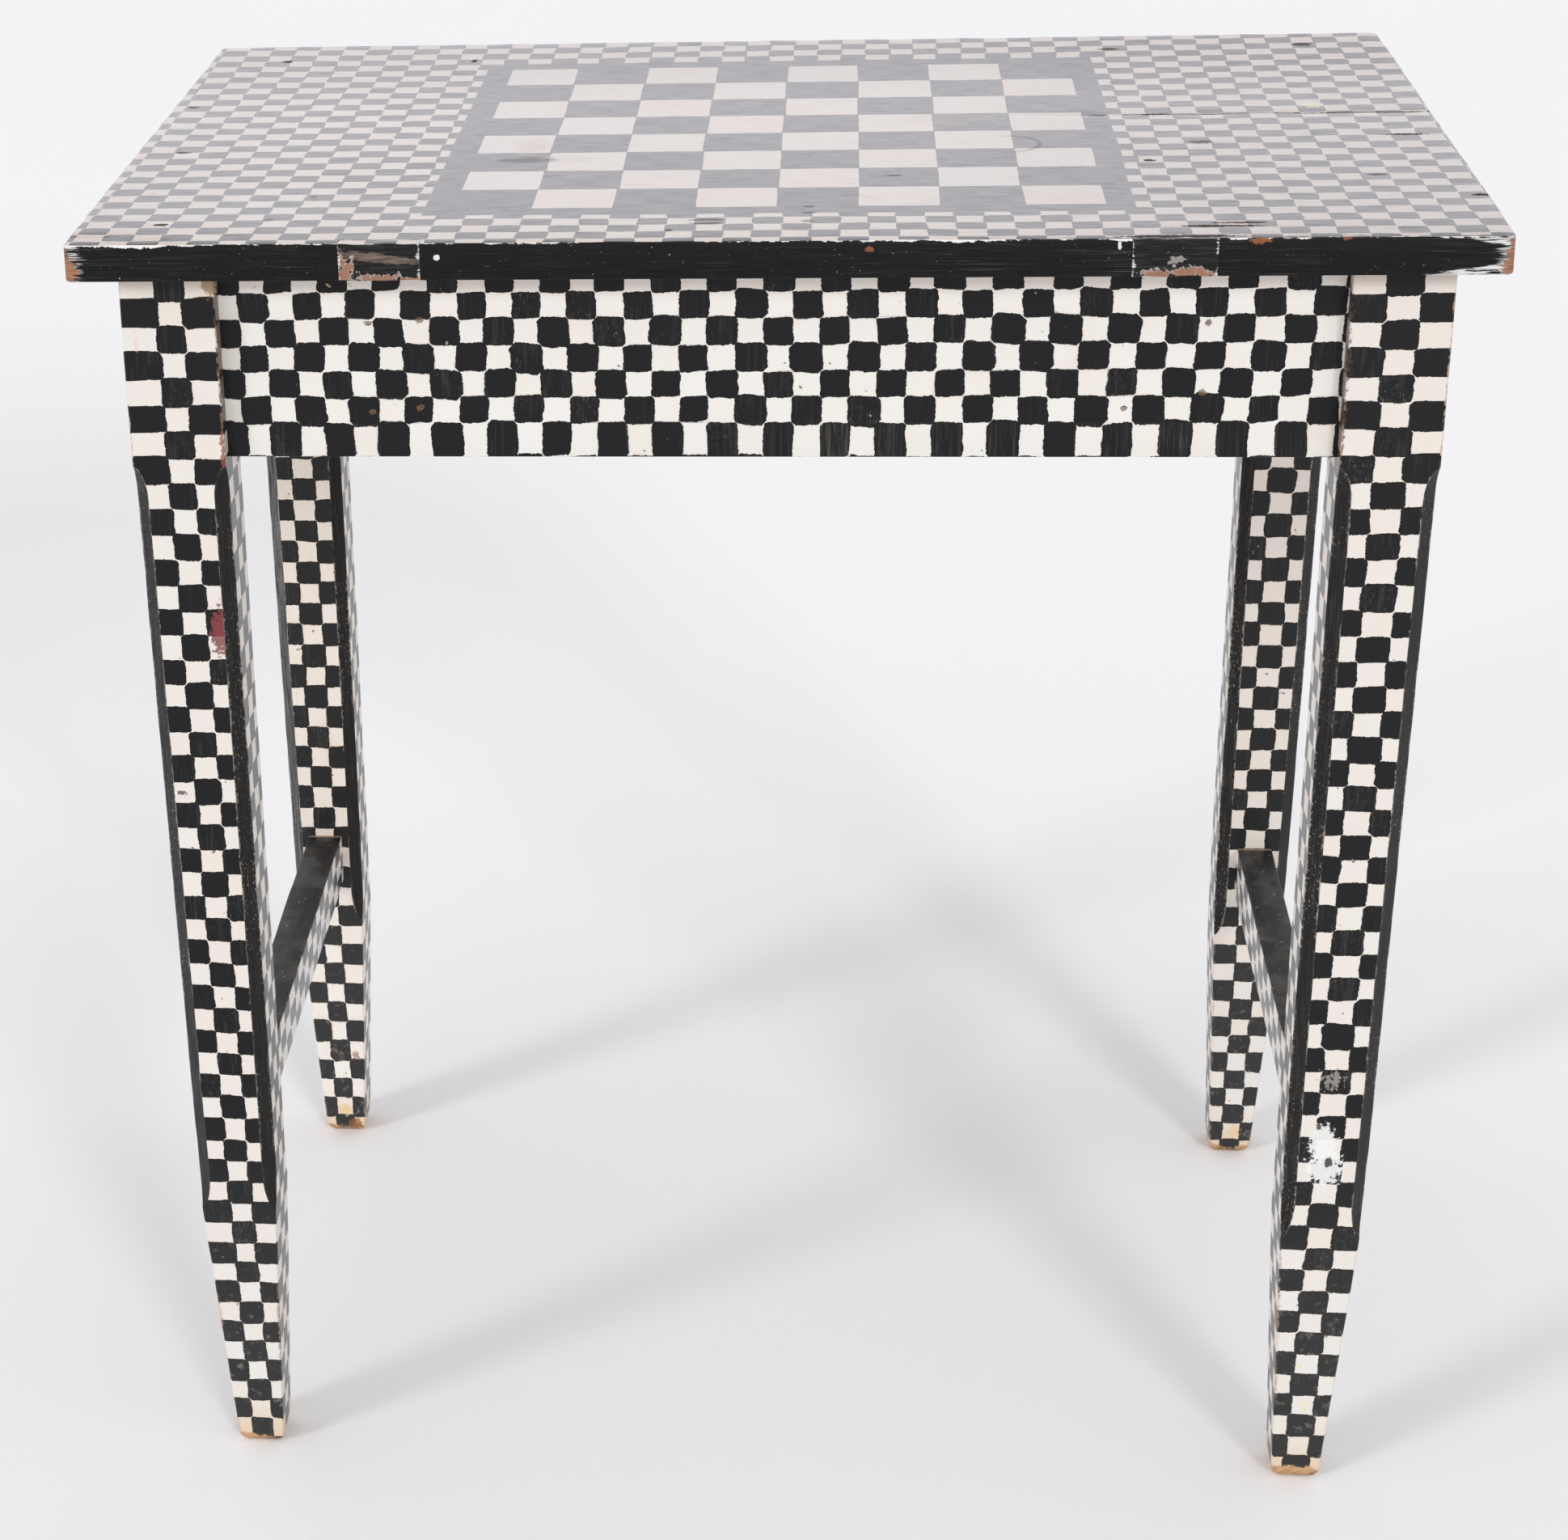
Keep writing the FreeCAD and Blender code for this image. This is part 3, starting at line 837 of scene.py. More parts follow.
@dataclass(frozen=True)
class EdgePaint:
    """Black paint on the top's edges, chipped to undercoat and bare wood at the arrises and corners."""

    lower_mm: float = 721.0
    rightward_mm: Span = (-100.0, 100.0)
    tear_mm: float = 5.0
    patch_mm: float = 9.0
    upper_chip_mm: Span = (0.45, 0.1)
    lower_chip_mm: Span = (-1.0, -1.4)
    bare_reach_mm: float = 8.0
    bare_soft_mm: float = 1.0
    bare_middle_mm: float = 14.0
    bare_less_right_mm: float = 2.6
    bristle_mm: float = 16.0
    scrape_reach_mm: float = 9.5
    scrape_soft_mm: float = 5.0
    low_scrape_mm: float = 34.0
    low_band_mm: float = 6.0
    high_scrape_mm: float = 16.0
    high_band_mm: float = 5.0
    relief: float = 0.0003
    marks: Tuple[Mark, ...] = (
        on_front(231.5, 738.4, 4.6, 1.8, PIGMENTS.chip_wood),
        on_front(272.0, 739.4, 3.0, 0.9, PIGMENTS.chip_wood, 0.8),
        on_front(47.0, 735.6, 2.0, 1.5, PIGMENTS.chip_wood, 0.8),
        on_front(-163.6, 732.9, 1.4, 1.6, PIGMENTS.undercoat),
        on_front(166.0, 736.9, 0.9, 2.2, PIGMENTS.undercoat),
    )

    def material(self) -> Material:
        """The painted edge of the top.

        Returns:
            The material.
        """
        recipe = Recipe("edge_paint")
        x, y, z = recipe.millimetres()
        along = x + y
        upper = TOP_MM - z
        lower = z - self.lower_mm
        rightward = x.rise(*self.rightward_mm)
        strokes = recipe.streaks(along * 0.03, z * 1.6)
        torn = recipe.streaks(along * 0.16, z * 0.3, y * 0.1)
        patchy = recipe.streaks(along * 0.012, 4.0, 0.0, 2.0, 0.5)
        scratches = recipe.streaks(along * 0.02, z * 2.6, 8.0, 2.0, 0.5).rise(0.6, 0.7)
        coat = Coat(recipe, PIGMENTS.edge_black)
        coat.lay(strokes.rise(0.5, 0.75) * 0.3, PIGMENTS.rubbed_black)
        coat.lay(scratches * patchy.rise(0.4, 0.65) * (rightward * 0.14 + 0.14), PIGMENTS.fleck)
        coat.lay(recipe.noise(900.0).rise(0.74, 0.79) * 0.7, PIGMENTS.undercoat)
        edge_wear = (torn - 0.5) * self.tear_mm + (patchy - 0.5) * self.patch_mm
        coat.lay((upper - edge_wear).rise(*self.upper_chip_mm), PIGMENTS.undercoat)
        coat.lay((lower - edge_wear).rise(*self.lower_chip_mm), PIGMENTS.fleck)
        corner = (HALF_WIDTH_MM - abs(x)).at_least(HALF_DEPTH_MM - abs(y))
        bristles = recipe.streaks(along * 0.06, z * 0.7, 5.0, 3.0, 0.6) - 0.5
        off_middle = abs(upper - self.bare_middle_mm) * (0.6 - rightward * 0.4)
        depth = corner + off_middle - bristles * self.bristle_mm + rightward * self.bare_less_right_mm
        bare = depth.rise(self.bare_reach_mm, self.bare_reach_mm - self.bare_soft_mm)
        nicks = recipe.streaks(along * 0.08, z * 1.1, 3.0, 3.0, 0.6).rise(0.44, 0.52)
        low_scrape = lower.rise(self.low_band_mm, 0.0) * self.low_scrape_mm
        taper = (low_scrape + upper.rise(self.high_band_mm, 0.0) * self.high_scrape_mm) * rightward
        scraped = (taper + self.scrape_reach_mm - corner) / self.scrape_soft_mm + bristles * 5.0
        coat.lay(scraped.rise(0.0, 1.2) * nicks * 0.85, PIGMENTS.undercoat)
        wood = Coat(recipe, PIGMENTS.bare_wood)
        wood.lay(strokes.rise(0.4, 0.7) * 0.7, PIGMENTS.dark_wood)
        coat.lay(bare, wood.colour)
        coat.spot(self.marks, 450.0)
        roughness = strokes * 0.3 + bare * 0.3 + 0.22
        return recipe.finish(dull(coat.colour, roughness, 0.15), strokes * 0.4 - bare * 0.5, self.relief)


@dataclass(frozen=True)
class PatchPaint:
    """Black paint flaking off a let-in repair piece."""

    seed: float
    middle_mm: float
    scar_share: float
    chips: Tuple[Mark, ...]
    half_mm: float = 20.5
    scar_mm: float = 732.3
    scar_fall: float = 0.10
    scar_reach_mm: Span = (2.6, 1.4)
    scar_tear_mm: float = 9.0
    chip_rim: float = 1.08
    relief: float = 0.0006

    def material(self) -> Material:
        """The flaking paint of one repair piece.

        Returns:
            The material.
        """
        recipe = Recipe(f"patch_paint_{int(self.seed)}")
        x, _, z = recipe.millimetres()
        flakes = recipe.streaks(x * 0.10, z * 0.22, self.seed, rough=0.6)
        strokes = recipe.streaks(x * 0.05, z * 1.1, self.seed)
        scar = recipe.mix(strokes.rise(0.4, 0.6), PIGMENTS.scar, PIGMENTS.pale_scar)
        aside = x - self.middle_mm
        off_scar = z - self.scar_mm + aside * self.scar_fall + (flakes - 0.5) * self.scar_tear_mm
        coat = Coat(recipe, PIGMENTS.edge_black)
        coat.lay(strokes.rise(0.5, 0.68) * 0.9, PIGMENTS.rubbed_black)
        coat.lay(abs(off_scar).rise(*self.scar_reach_mm) * self.scar_share, scar)
        coat.spot(tuple(self._rim(chip) for chip in self.chips) + self.chips, 300.0)
        split = (abs(aside / self.half_mm) + (flakes - 0.5) * 0.3).rise(0.94, 0.98)
        coat.lay(split * strokes.rise(0.42, 0.55) * 0.8, PIGMENTS.undercoat)
        height = strokes * 0.4 + flakes * 0.6
        return recipe.finish(dull(coat.colour, strokes * 0.3 + 0.3, 0.2), height, self.relief)

    def _rim(self, chip: Mark) -> Mark:
        """The undercoat that shows all round a chip."""
        radii = tuple(radius * self.chip_rim for radius in chip.radii_mm)
        return replace(chip, radii_mm=radii, colour=PIGMENTS.undercoat)


@dataclass(frozen=True)
class ApronPaint:
    """Checks on an apron: rows by height, with a taller bottom row, and columns along its length, with
    painted light on the cream of its top rows.
    """

    name: str
    axis: Axis
    seed: float
    spread: float = 0.1
    marks: Tuple[Mark, ...] = ()
    column_mm: float = 14.08
    middle_mm: float = 10.0
    half_length_mm: float = 273.0
    bottom_row_top_mm: float = 637.3
    bottom_row_mm: float = 18.3
    row_mm: float = 13.8
    wander: float = 0.12
    thin_row_mm: Span = (0.6, -0.6)
    thin_from_mm: Span = (-70.0, -20.0)
    # Heights where painted light pales the cream of the top rows, under the overhang of the top.
    painted_light_mm: Span = (690.0, 706.0)
    relief: float = 0.00012

    def material(self) -> Material:
        """The painted face of the apron.

        Returns:
            The material.
        """
        recipe = Recipe(f"{self.name}_paint")
        places = recipe.millimetres()
        along = places[self.axis.value] - self.middle_mm
        height = places[Axis.Z.value] - self.bottom_row_top_mm
        share = along / self.half_length_mm
        columns = along / self.column_mm - share * share * self.spread
        rows = height.at_least(0.0) / self.row_mm + height.at_most(0.0) / self.bottom_row_mm
        aside, up = recipe.noise_pair(26.0)
        brush = Brush(self.seed, half_width=0.555, half_height=0.54, size_wander=0.08, place_wander=0.09,
                      lean=0.13, wobble=0.16, squareness=9.0)
        checks = brush.draw(recipe, columns + aside * self.wander - 0.5, rows + up * self.wander - 0.5)
        layer = CheckCoat(dry_share=0.45, fleck_share=0.2).cover(recipe, checks)
        coat = Coat(recipe, layer.colour)
        brushed = recipe.streaks(columns * 11.0, rows * 0.6, 4.0).rise(0.45, 0.7)
        thin = checks.black * height.rise(*self.thin_row_mm) * along.rise(*self.thin_from_mm)
        coat.lay(brushed * (thin * checks.cell[2].rise(0.1, 0.9)) * 0.7, PIGMENTS.thin_black)
        # Painted light: the cream cells in the top rows, in the shade of the overhanging top, are made paler.
        painted_light_share = places[Axis.Z.value].rise(*self.painted_light_mm) * (1.0 - checks.black)
        coat.lay(painted_light_share * 0.6, PIGMENTS.painted_light_cream)
        coat.spot(self.marks, 500.0)
        return recipe.finish(satin(recipe, coat.colour, layer.roughness, 0.7), layer.height, self.relief)


@dataclass(frozen=True)
class LegPaint:
    """Three columns of checks on each face of a leg, worn to bare wood at the foot, with the cream paled as
    painted light where the leg stands in shade.
    """

    name: str
    seed: float
    tone: Tone
    foot_mm: float
    faded: float = 0.0
    # Painted light: scales the cream, above 1 on the back left leg to make up for the shade of the top.
    painted_light_gain: float = 1.0
    marks: Tuple[Mark, ...] = ()
    wander: float = 0.16
    turn_low: float = -0.1
    turn_high: float = 2.1
    yellowed_mm: Span = (110.0, 260.0)
    dulled_mm: Span = (260.0, 60.0)
    scuffed_mm: Span = (200.0, 40.0)
    chipped_mm: Span = (0.2, -0.2)
    chip_tear_mm: float = 4.0
    grimy_mm: Span = (1.2, 0.0)
    grime_tear_mm: float = 5.0
    grime_height_mm: Span = (190.0, 60.0)
    stained_mm: Span = (38.0, 4.0)
    foot_wander_mm: float = 12.0
    foot_tear_mm: float = 7.0
    foot_soft_mm: float = 2.0
    relief: float = 0.00012

    def material(self) -> Material:
        """The painted faces of the leg.

        Returns:
            The material.
        """
        recipe = Recipe(f"{self.name}_paint")
        columns, rows = recipe.drawn_on(Leg.PAINT_MAP)
        from_inner_mm, from_outer_mm = recipe.drawn_on(Leg.RIM_MAP)
        height_mm = recipe.millimetres()[Axis.Z.value]
        rim_mm = from_inner_mm.at_most(from_outer_mm)
        aside, up = recipe.noise_pair(24.0)
        brush = Brush(self.seed, half_width=0.56, half_height=0.545, squareness=9.0, squareness_wander=12.0)
        across = (columns + aside * self.wander * 0.6).at_least(self.turn_low).at_most(self.turn_high)
        checks = replace(brush.draw(recipe, across, rows + up * self.wander), across=columns)
        cream, rosy_cream = (tuple(channel * self.painted_light_gain for channel in tint)
                             for tint in (PIGMENTS.leg_cream, PIGMENTS.rosy_leg_cream))
        paint = CheckCoat(ageing=self.tone.value * 0.6, pencil_share=0.0, cream=cream, rosy_cream=rosy_cream)
        layer = paint.cover(recipe, checks, height_mm.rise(*self.yellowed_mm) * (self.tone.value * 0.3))
        torn = recipe.noise(260.0, 4.0, 0.65)
        patchy = recipe.noise(16.0).rise(0.45, 0.62)
        coat = Coat(recipe, layer.colour)
        dulled = (height_mm.rise(*self.dulled_mm) * 0.53 + self.faded).at_most(0.62)
        coat.lay(dulled * checks.black, PIGMENTS.rubbed_black)
        scuffs = recipe.noise(170.0, 4.0, 0.7).rise(0.56, 0.7) * height_mm.rise(*self.scuffed_mm)
        coat.lay(scuffs * checks.black * 0.35, PIGMENTS.fleck)
        chipped = (rim_mm - (torn - 0.5) * self.chip_tear_mm).rise(*self.chipped_mm)
        coat.lay(chipped * patchy * 0.8, PIGMENTS.stain)
        grimy = (rim_mm - (torn - 0.5) * self.grime_tear_mm).rise(*self.grimy_mm)
        coat.lay(grimy * patchy * height_mm.rise(*self.grime_height_mm) * 0.45, PIGMENTS.dark_wood)
        low = height_mm.rise(*self.stained_mm) * (torn * 0.8 + 0.4).at_most(1.0)
        coat.lay(low * 0.8 * (1.0 - checks.black), PIGMENTS.foot_cream)
        calm = recipe.noise(70.0)
        edge_mm = height_mm + (calm - 0.5) * self.foot_wander_mm + (torn - 0.5) * self.foot_tear_mm
        bare = edge_mm.rise(self.foot_mm, self.foot_mm - self.foot_soft_mm)
        mottle = calm.rise(0.42, 0.66) * 0.5 + torn.rise(0.48, 0.64) * 0.4
        coat.lay(bare, recipe.mix(mottle, PIGMENTS.foot_wood, PIGMENTS.dark_wood))
        coat.spot(self.marks, 400.0)
        sockets = satin(recipe, coat.colour, layer.roughness + bare * 0.3, 0.45)
        return recipe.finish(sockets, layer.height - bare * 0.6, self.relief)


@dataclass(frozen=True)
class ChamferPaint:
    """Plain black paint on the chamfers, rubbed through along their edges, with a painted grey highlight on
    the left legs' outer chamfers.
    """

    sheen_x_mm: Span = (-308.0, -318.0)
    sheen_y_mm: Span = (100.0, 170.0)
    relief: float = 0.00015

    def material(self) -> Material:
        """The black chamfers of a leg.

        Returns:
            The material.
        """
        recipe = Recipe("chamfer_paint")
        across = recipe.drawn_on(Leg.PAINT_MAP)[0]
        x, y, z = recipe.millimetres()
        strokes = recipe.streaks((x + y) * 1.2, z * 0.03, y)
        torn = recipe.streaks(x * 0.3, y * 0.3, z * 0.12)
        specks = recipe.noise(800.0)
        patches = recipe.noise(14.0)
        edge = across.at_most(1.0 - across)
        coat = Coat(recipe, PIGMENTS.brown_black)
        coat.lay(strokes.rise(0.45, 0.75) * 0.75, PIGMENTS.rubbed_black)
        frayed = recipe.noise(420.0, 3.0, 0.7).rise(0.53, 0.62) * edge.rise(0.2, 0.03)
        coat.lay(frayed * patches.rise(0.34, 0.56) * 0.75, PIGMENTS.fleck)
        worn = (edge + (torn - 0.5) * 0.5).rise(0.06, 0.01) * patches.rise(0.35, 0.6)
        coat.lay(worn * 0.6, PIGMENTS.fleck)
        coat.lay(specks.rise(0.63, 0.70) * patches.rise(0.4, 0.65) * 0.7, PIGMENTS.fleck)
        coat.lay(torn.rise(0.7, 0.74) * patches.rise(0.55, 0.65), PIGMENTS.bare_wood)
        # Painted highlight: grey streaks on the left legs' outer chamfers, strongest on the back left leg,
        # stand in for a sheen.
        painted_sheen = x.rise(*self.sheen_x_mm) * (y.rise(*self.sheen_y_mm) * 0.56 + 0.03)
        coat.lay(painted_sheen * strokes.rise(0.3, 0.75), PIGMENTS.dust)
        return recipe.finish(dull(coat.colour, strokes * 0.3 + 0.22, 0.15), strokes, self.relief)


@dataclass(frozen=True)
class StretcherPaint:
    """Small checks on the sides of a stretcher."""

    low_mm: float = 198.0
    row_mm: float = 11.0
    column_mm: float = 18.0
    relief: float = 0.0001

    def material(self) -> Material:
        """The checked sides of a stretcher.

        Returns:
            The material.
        """
        recipe = Recipe("stretcher_paint")
        _, y, z = recipe.millimetres()
        aside, up = recipe.noise_pair(30.0)
        rows = (z - self.low_mm) / self.row_mm - 0.5 + up * 0.4
        checks = Brush(21.0, wobble=0.16).draw(recipe, y / self.column_mm + aside * 0.5, rows)
        layer = CheckCoat(ageing=0.5).cover(recipe, checks)
        return recipe.finish(satin(recipe, layer.colour, layer.roughness, 0.7), layer.height, self.relief)


@dataclass(frozen=True)
class RubbedBlack:
    """Black paint dulled by dust and shoes on the upper faces of the stretchers."""

    joint_mm: Span = (158.6, 161.0)
    relief: float = 0.00015

    def material(self) -> Material:
        """The upper face of a stretcher.

        Returns:
            The material.
        """
        recipe = Recipe("rubbed_black")
        x, y, z = recipe.millimetres()
        strokes = recipe.streaks(x * 0.9, y * 0.03, z)
        cloud = recipe.noise(45.0, 3.0)
        coat = Coat(recipe, PIGMENTS.black)
        coat.lay(strokes.rise(0.4, 0.75) * 0.6, PIGMENTS.rubbed_black)
        coat.lay(cloud.rise(0.42, 0.66) * 0.6, PIGMENTS.dusty_black)
        coat.lay(recipe.noise(330.0).rise(0.69, 0.74) * 0.8, PIGMENTS.fleck)
        coat.lay(y.rise(*self.joint_mm) * 0.6, PIGMENTS.stain)
        return recipe.finish(dull(coat.colour, cloud * 0.3 + 0.35, 0.3), strokes, self.relief)


@dataclass(frozen=True)
class BarePine:
    """Aged pine that was never painted, with its grain along one axis."""

    axis: Axis
    pale: Colour = (0.58, 0.38, 0.205)
    dark: Colour = (0.33, 0.17, 0.075)
    dust: Colour = (0.22, 0.15, 0.10)
    bend_mm: float = 9.0
    relief: float = 0.0003

    def material(self) -> Material:
        """Bare wood with its grain along the axis.

        Returns:
            The material.
        """
        recipe = Recipe(f"bare_pine_{self.axis.name.lower()}")
        places = recipe.millimetres()
        places[self.axis.value] = places[self.axis.value] * 0.04
        first, second = recipe.noise_pair(0.05, at=recipe.vector(*places))
        bends = (first, second, first)
        rings = recipe.vector(*(place + bend * self.bend_mm for place, bend in zip(places, bends)))
        bands = recipe.noise(0.22, 3.0, 0.55, rings)
        pores = recipe.noise(1.4, 4.0, 0.65, rings)
        coat = Coat(recipe, self.pale)
        coat.lay(bands.rise(0.38, 0.62), self.dark)
        coat.lay(pores.rise(0.5, 0.75) * 0.45, self.dark)
        coat.lay(recipe.noise(16.0, 3.0).rise(0.5, 0.8) * 0.5, self.dust)
        height = pores * 0.6 + bands * 0.4
        return recipe.finish(dull(coat.colour, pores * 0.25 + 0.6, 0.3), height, self.relief)


@dataclass(frozen=True)
class OldSteel:
    """Dull steel screws with some rust."""

    steel: Colour = (0.36, 0.33, 0.30)
    rust: Colour = (0.16, 0.07, 0.03)
    relief: float = 0.00008

    def material(self) -> Material:
        """Old steel.

        Returns:
            The material.
        """
        recipe = Recipe("old_steel")
        rust = recipe.noise(500.0, 4.0, 0.65).rise(0.48, 0.62)
        sockets = {"Base Color": recipe.mix(rust, self.steel, self.rust), "Metallic": 1.0 - rust * 0.9,
                   "Roughness": rust * 0.4 + 0.38}
        return recipe.finish(sockets, recipe.noise(2500.0) + rust, self.relief)


# Meshes


def box_mesh(low: Vector, high: Vector) -> Mesh:
    """A box between two corners.

    Args:
        low: Its lowest corner.
        high: Its highest corner.

    Returns:
        The new mesh.
    """
    mesh = bmesh.new()
    place = Matrix.Translation((low + high) * 0.5) @ Matrix.Diagonal((*(high - low), 1.0))
    bmesh.ops.create_cube(mesh, size=1.0, matrix=place)
    return mesh


def cut_across(mesh: Mesh, axis: Axis, places: Sequence[float]) -> None:
    """Cuts every face of a mesh along planes square to an axis.

    Args:
        mesh: The mesh.
        axis: The axis that the planes are square to.
        places: Where the planes lie on it.
    """
    normal = Vector((0.0, 0.0, 0.0))
    normal[axis.value] = 1.0
    for place in places:
        geometry = list(mesh.verts) + list(mesh.edges) + list(mesh.faces)
        bmesh.ops.bisect_plane(mesh, geom=geometry, plane_co=normal * place, plane_no=normal)


def even_places(low: float, high: float, step: float) -> List[float]:
    """Evenly spaced places between two ends, about a step apart."""
    count = max(1, round((high - low) / step))
    return [low + (high - low) * index / count for index in range(1, count)]


def ease(mesh: Mesh, geometry: Sequence[object], width: float, segments: int,
         affect: str = "EDGES") -> List[bmesh.types.BMFace]:
    """Rounds edges or corners over, and gives the new faces."""
    return bmesh.ops.bevel(mesh, geom=list(geometry), offset=width, offset_type="OFFSET", segments=segments,
                           profile=0.5, affect=affect, material=-1)["faces"]


def sharp_edges(mesh: Mesh) -> List[bmesh.types.BMEdge]:
    """The edges where two faces meet at an angle."""
    return [edge for edge in mesh.edges if edge.is_manifold and edge.calc_face_angle(0.0) > FLAT]


def wear_at(place: Vector, scale: float, bias: float) -> float:
    """How worn a place is, by features per metre and the wear where the noise is even."""
    return max(0.0, noise.noise(place * scale) + bias)


def rub(vertices: Sequence[bmesh.types.BMVert], centre: Callable[[Vector], Vector], depth: float,
        scale: float, bias: float = 0.25) -> None:
    """Rubs vertices unevenly towards the inside of a piece, never outwards.

    Args:
        vertices: What is rubbed.
        centre: Gives a point inside the piece for a place on it.
        depth: The deepest rub.
        scale: Features per metre.
        bias: The wear where the noise is even.
    """
    for vertex in vertices:
        inward = centre(vertex.co) - vertex.co
        vertex.co += inward.normalized() * (wear_at(vertex.co, scale, bias) * depth)


def add_piece(node: str, mesh: Mesh, finishes: Sequence[Material],
              choose: Optional[Callable[[Vector], int]] = None) -> None:
    """Makes a finished piece that stands for a node of the frame, shaded smooth with its sharp edges kept.

    Args:
        node: The node that it replaces.
        mesh: Its mesh, which is freed.
        finishes: Its materials, in the order of its faces' numbers.
        choose: Gives a face's number from its normal, where the faces have none yet.
    """
    bmesh.ops.recalc_face_normals(mesh, faces=list(mesh.faces))
    for edge in mesh.edges:
        edge.smooth = True
    for edge in sharp_edges(mesh):
        edge.smooth = False
    for face in mesh.faces:
        face.smooth = True
        if choose is not None:
            face.material_index = choose(face.normal)
    name = f"painted_{node}"
    data = bpy.data.meshes.new(name)
    mesh.to_mesh(data)
    mesh.free()
    for finish in finishes:
        data.materials.append(finish)
    piece = bpy.data.objects.new(name, data)
    bpy.context.scene.collection.objects.link(piece)
    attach(piece, BODY)
    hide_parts(node)
    LOG.info("%s: %d faces, stands for %s", name, len(data.polygons), node)


# Sub-assemblies


@dataclass
class TableTop:
    """Two boards edge to edge, and two repair pieces let into the front edge."""

    arris: float = 0.0011
    corner: float = 0.004
    step: float = 0.006
    rim: float = 0.005
    chip: float = 0.0006
    chip_reach: float = 0.003
    chip_scale: float = 70.0
    chip_below: float = 0.02
    chip_inward_share: float = 0.9
    joint_gap: float = 0.00015
    crack_start: float = 0.13
    crack_depth: float = 0.0007
    crack_scale: float = 40.0
    crack_bias: float = 0.6
    patch_step: float = 0.0025
    patch_rise: float = 0.004
    patch_arris: float = 0.0005
    patch_rub: float = 0.0007
    patch_rub_scale: float = 130.0
    upward: float = 0.8

    def build(self, bare: Material) -> None:
        """Builds and dresses the boards and the repair pieces.

        Args:
            bare: The finish of their undersides.
        """
        face, edge = TopPaint().material(), EdgePaint().material()
        self._board("top_board_back", self._back_outline(), [edge, face, bare])
        self._board("top_board_front", self._front_outline(), [edge, face, bare])
        for hand, paint in zip(HANDS, self._patch_paints()):
            self._patch(f"edge_patch_{hand}", [paint.material(), face, bare])

    @staticmethod
    def _patch_paints() -> Tuple[PatchPaint, PatchPaint]:
        """The flaking paint of the left and of the right repair piece.

        Returns:
            The two paints.
        """
        chip = {"colour": PIGMENTS.chip_wood, "ragged": 1.7, "deep": 6.0}
        left = (on_front(-210.0, 726.5, 4.6, 5.6, **chip), on_front(-192.0, 722.2, 10.0, 2.2, **chip),
                on_front(-177.0, 721.6, 5.0, 1.2, **chip))
        right = (on_front(184.0, 722.2, 8.0, 2.0, **chip), on_front(199.0, 722.8, 10.0, 2.8, **chip),
                 on_front(193.5, 729.6, 3.0, 2.0, PIGMENTS.fleck, 0.25, 3.4, 6.0))
        return PatchPaint(1.0, -192.5, 1.0, left), PatchPaint(2.0, 192.5, 0.0, right)

    @staticmethod
    def _back_outline() -> List[Span]:
        """The back board's corners seen from above."""
        low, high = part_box("top_board_back")
        return [(low.x, low.y), (high.x, low.y), (high.x, high.y), (low.x, high.y)]

    def _front_outline(self) -> List[Span]:
        """The front board's corners seen from above, with a notch for each repair piece.

        Returns:
            The corners in order.
        """
        low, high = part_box("top_board_front")
        corners = [(low.x, high.y), (low.x, low.y)]
        for hand in HANDS:
            patch_low, patch_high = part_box(f"edge_patch_{hand}")
            left = patch_low.x - self.joint_gap
            right = patch_high.x + self.joint_gap
            inner = patch_high.y + self.joint_gap
            corners += [(left, low.y), (left, inner), (right, inner), (right, low.y)]
        return corners + [(high.x, low.y), (high.x, high.y)]

    def _board(self, node: str, outline: Sequence[Span], finishes: Sequence[Material]) -> None:
        """Builds one board.

        Args:
            node: The node that it stands for.
            outline: Its corners seen from above.
            finishes: Paint of the edge, paint of the top, and bare wood.
        """
        low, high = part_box(node)
        mesh = bmesh.new()
        corners = [mesh.verts.new((x, y, low.z)) for x, y in outline]
        mesh.faces.new(corners)
        ends = [v for v in corners if abs(v.co.x) > CAD_BOX[1].x - MM and abs(v.co.y) > CAD_BOX[1].y - MM]
        ease(mesh, ends, self.corner, 3, "VERTICES")
        raised = bmesh.ops.extrude_face_region(mesh, geom=list(mesh.faces), use_keep_orig=True)["geom"]
        lifted = [item for item in raised if isinstance(item, bmesh.types.BMVert)]
        bmesh.ops.translate(mesh, verts=lifted, vec=Vector((0.0, 0.0, high.z - low.z)))
        bmesh.ops.recalc_face_normals(mesh, faces=list(mesh.faces))
        ease(mesh, [edge for edge in sharp_edges(mesh) if self._on_rim(edge)], self.arris, 3)
        cut_across(mesh, Axis.X, even_places(low.x, high.x, self.step))
        cut_across(mesh, Axis.Y, even_places(low.y, high.y, self.step))
        self._wear(mesh, high.z)
        add_piece(node, mesh, finishes, self._facing)

    def _facing(self, normal: Vector) -> int:
        """The number of a face's finish: 0 on a side, 1 above and 2 below."""
        return 1 if normal.z > self.upward else 2 if normal.z < -self.upward else 0

    def _on_rim(self, edge: bmesh.types.BMEdge) -> bool:
        """Whether a level edge lies on the outside of the whole top.

        Args:
            edge: The edge.

        Returns:
            True on the rim, and False at a joint or in a notch.
        """
        one, other = (vertex.co for vertex in edge.verts)
        middle = (one + other) * 0.5
        at_end = abs(middle.x) > CAD_BOX[1].x - self.rim
        outside = at_end or abs(middle.y) > CAD_BOX[1].y - self.rim
        notch = CAD_BOX[0].y + MM < middle.y < 0.0 and not at_end
        return abs(one.z - other.z) < CLOSE and outside and not notch

